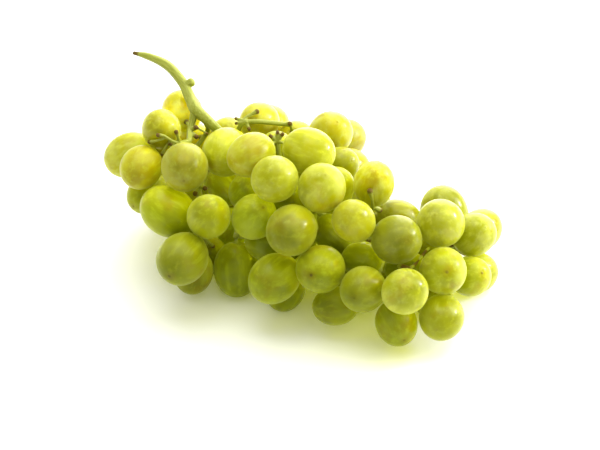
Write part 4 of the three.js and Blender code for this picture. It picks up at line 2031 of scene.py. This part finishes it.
@dataclass
class Studio:
    """The floor, the lights and the camera.

    The lens and the sensor are in millimetres, and the floor in metres.
    """

    plane: MeasuringPlane
    lens: float = 84.0
    sensor: float = 36.0
    floor_size: float = 6.0
    floor_colour: Colour = rgb(0.96, 0.96, 0.955)
    floor_roughness: float = 0.9
    lamps: tuple[Lamp, ...] = (
        Lamp("overhead_light", (0.15, 0.85, 0.3), 1.1, 1.5, 12.0),
        Lamp("back_light", (0.25, 0.75, -0.6), 0.9, 0.8, 5.0),
        Lamp("front_light", (-0.3, 0.75, 0.55), 1.0, 0.5, 1.3),
        Lamp("side_light", (0.85, 0.45, 0.15), 0.9, 0.5, 4.0),
        Lamp("window_light", (0.91, 0.4, 0.03), 0.9, 0.15, 4.0),
    )
    brightest: Place = (0.4, 0.8, -0.2)
    surroundings: Span = (0.52, 0.92)

    def build(self) -> None:
        """Builds the floor, the lights and the camera."""
        self.add_floor()
        for lamp in self.lamps:
            self.add_lamp(lamp)
        self.add_world()
        self.add_camera()
        view = bpy.context.scene.view_settings
        view.view_transform = "Standard"
        view.look = "None"

    def add_floor(self) -> None:
        """Adds the plain pale floor."""
        half = self.floor_size / 2
        mesh = bpy.data.meshes.new("floor")
        corners = [(-half, -half, 0), (half, -half, 0), (half, half, 0), (-half, half, 0)]
        mesh.from_pydata(corners, [], [(0, 1, 2, 3)])
        floor = bpy.data.objects.new("floor", mesh)
        bpy.context.scene.collection.objects.link(floor)
        settings = {"Base Color": self.floor_colour, "Roughness": self.floor_roughness}
        mesh.materials.append(Graph("pale_floor").finish(settings))

    def add_lamp(self, lamp: Lamp) -> None:
        """Adds a soft light that faces the bunch.

        Args:
            lamp: where it stands and how bright it is.
        """
        data = bpy.data.lights.new(lamp.name, "AREA")
        data.shape = "DISK"
        data.size = lamp.size
        data.energy = lamp.power
        made = bpy.data.objects.new(lamp.name, data)
        way = Vector(self.plane.direction(lamp.towards))
        made.location = Vector(self.plane.centre) * MM + way * lamp.distance
        made.rotation_euler = (-way).to_track_quat("-Z", "Y").to_euler()
        bpy.context.scene.collection.objects.link(made)

    def add_world(self) -> None:
        """Adds the white surroundings, brightest above and behind the bunch."""
        world = bpy.data.worlds.new("studio")
        world.use_nodes = True
        tree = world.node_tree
        background = tree.nodes["Background"]
        background.inputs["Color"].default_value = rgb(1, 1, 1)
        outwards = tree.nodes.new("ShaderNodeTexCoord")
        towards = tree.nodes.new("ShaderNodeVectorMath")
        towards.operation = "DOT_PRODUCT"
        towards.inputs[1].default_value = Vector(self.plane.direction(self.brightest))
        strength = tree.nodes.new("ShaderNodeMapRange")
        strength.interpolation_type = "SMOOTHSTEP"
        ends = dict(zip(("From Min", "From Max", "To Min", "To Max"), (-1, 1, *self.surroundings)))
        for key, value in ends.items():
            strength.inputs[key].default_value = value
        tree.links.new(outwards.outputs["Generated"], towards.inputs[0])
        tree.links.new(towards.outputs["Value"], strength.inputs["Value"])
        tree.links.new(strength.outputs["Result"], background.inputs["Strength"])
        bpy.context.scene.world = world

    def add_camera(self) -> None:
        """Adds the camera, which looks at the middle of the measuring plane."""
        data = bpy.data.cameras.new("camera")
        data.lens = self.lens
        data.sensor_width = self.sensor
        made = bpy.data.objects.new("camera", data)
        plane = self.plane
        turn = Matrix((plane.across, plane.up, -plane.looking)).transposed()
        made.matrix_world = turn.to_4x4()
        eye = np.array(plane.centre) - plane.looking * plane.eye_distance
        made.location = Vector(eye * MM)
        bpy.context.scene.collection.objects.link(made)
        bpy.context.scene.camera = made


def main() -> None:
    """Builds the bunch and the studio round it."""
    logging.basicConfig(level=logging.INFO, format="%(message)s")
    plan = BunchPlan()
    plan.work_out()
    log.info("%d berries", len(plan.berries))
    finishes = {Slot.SKIN: GrapeSkin().material(), Slot.STEM: GreenStem().material()}
    Bunch(plan, finishes).build()
    Studio(plan.plane).build()


if __name__ == "__main__":
    main()
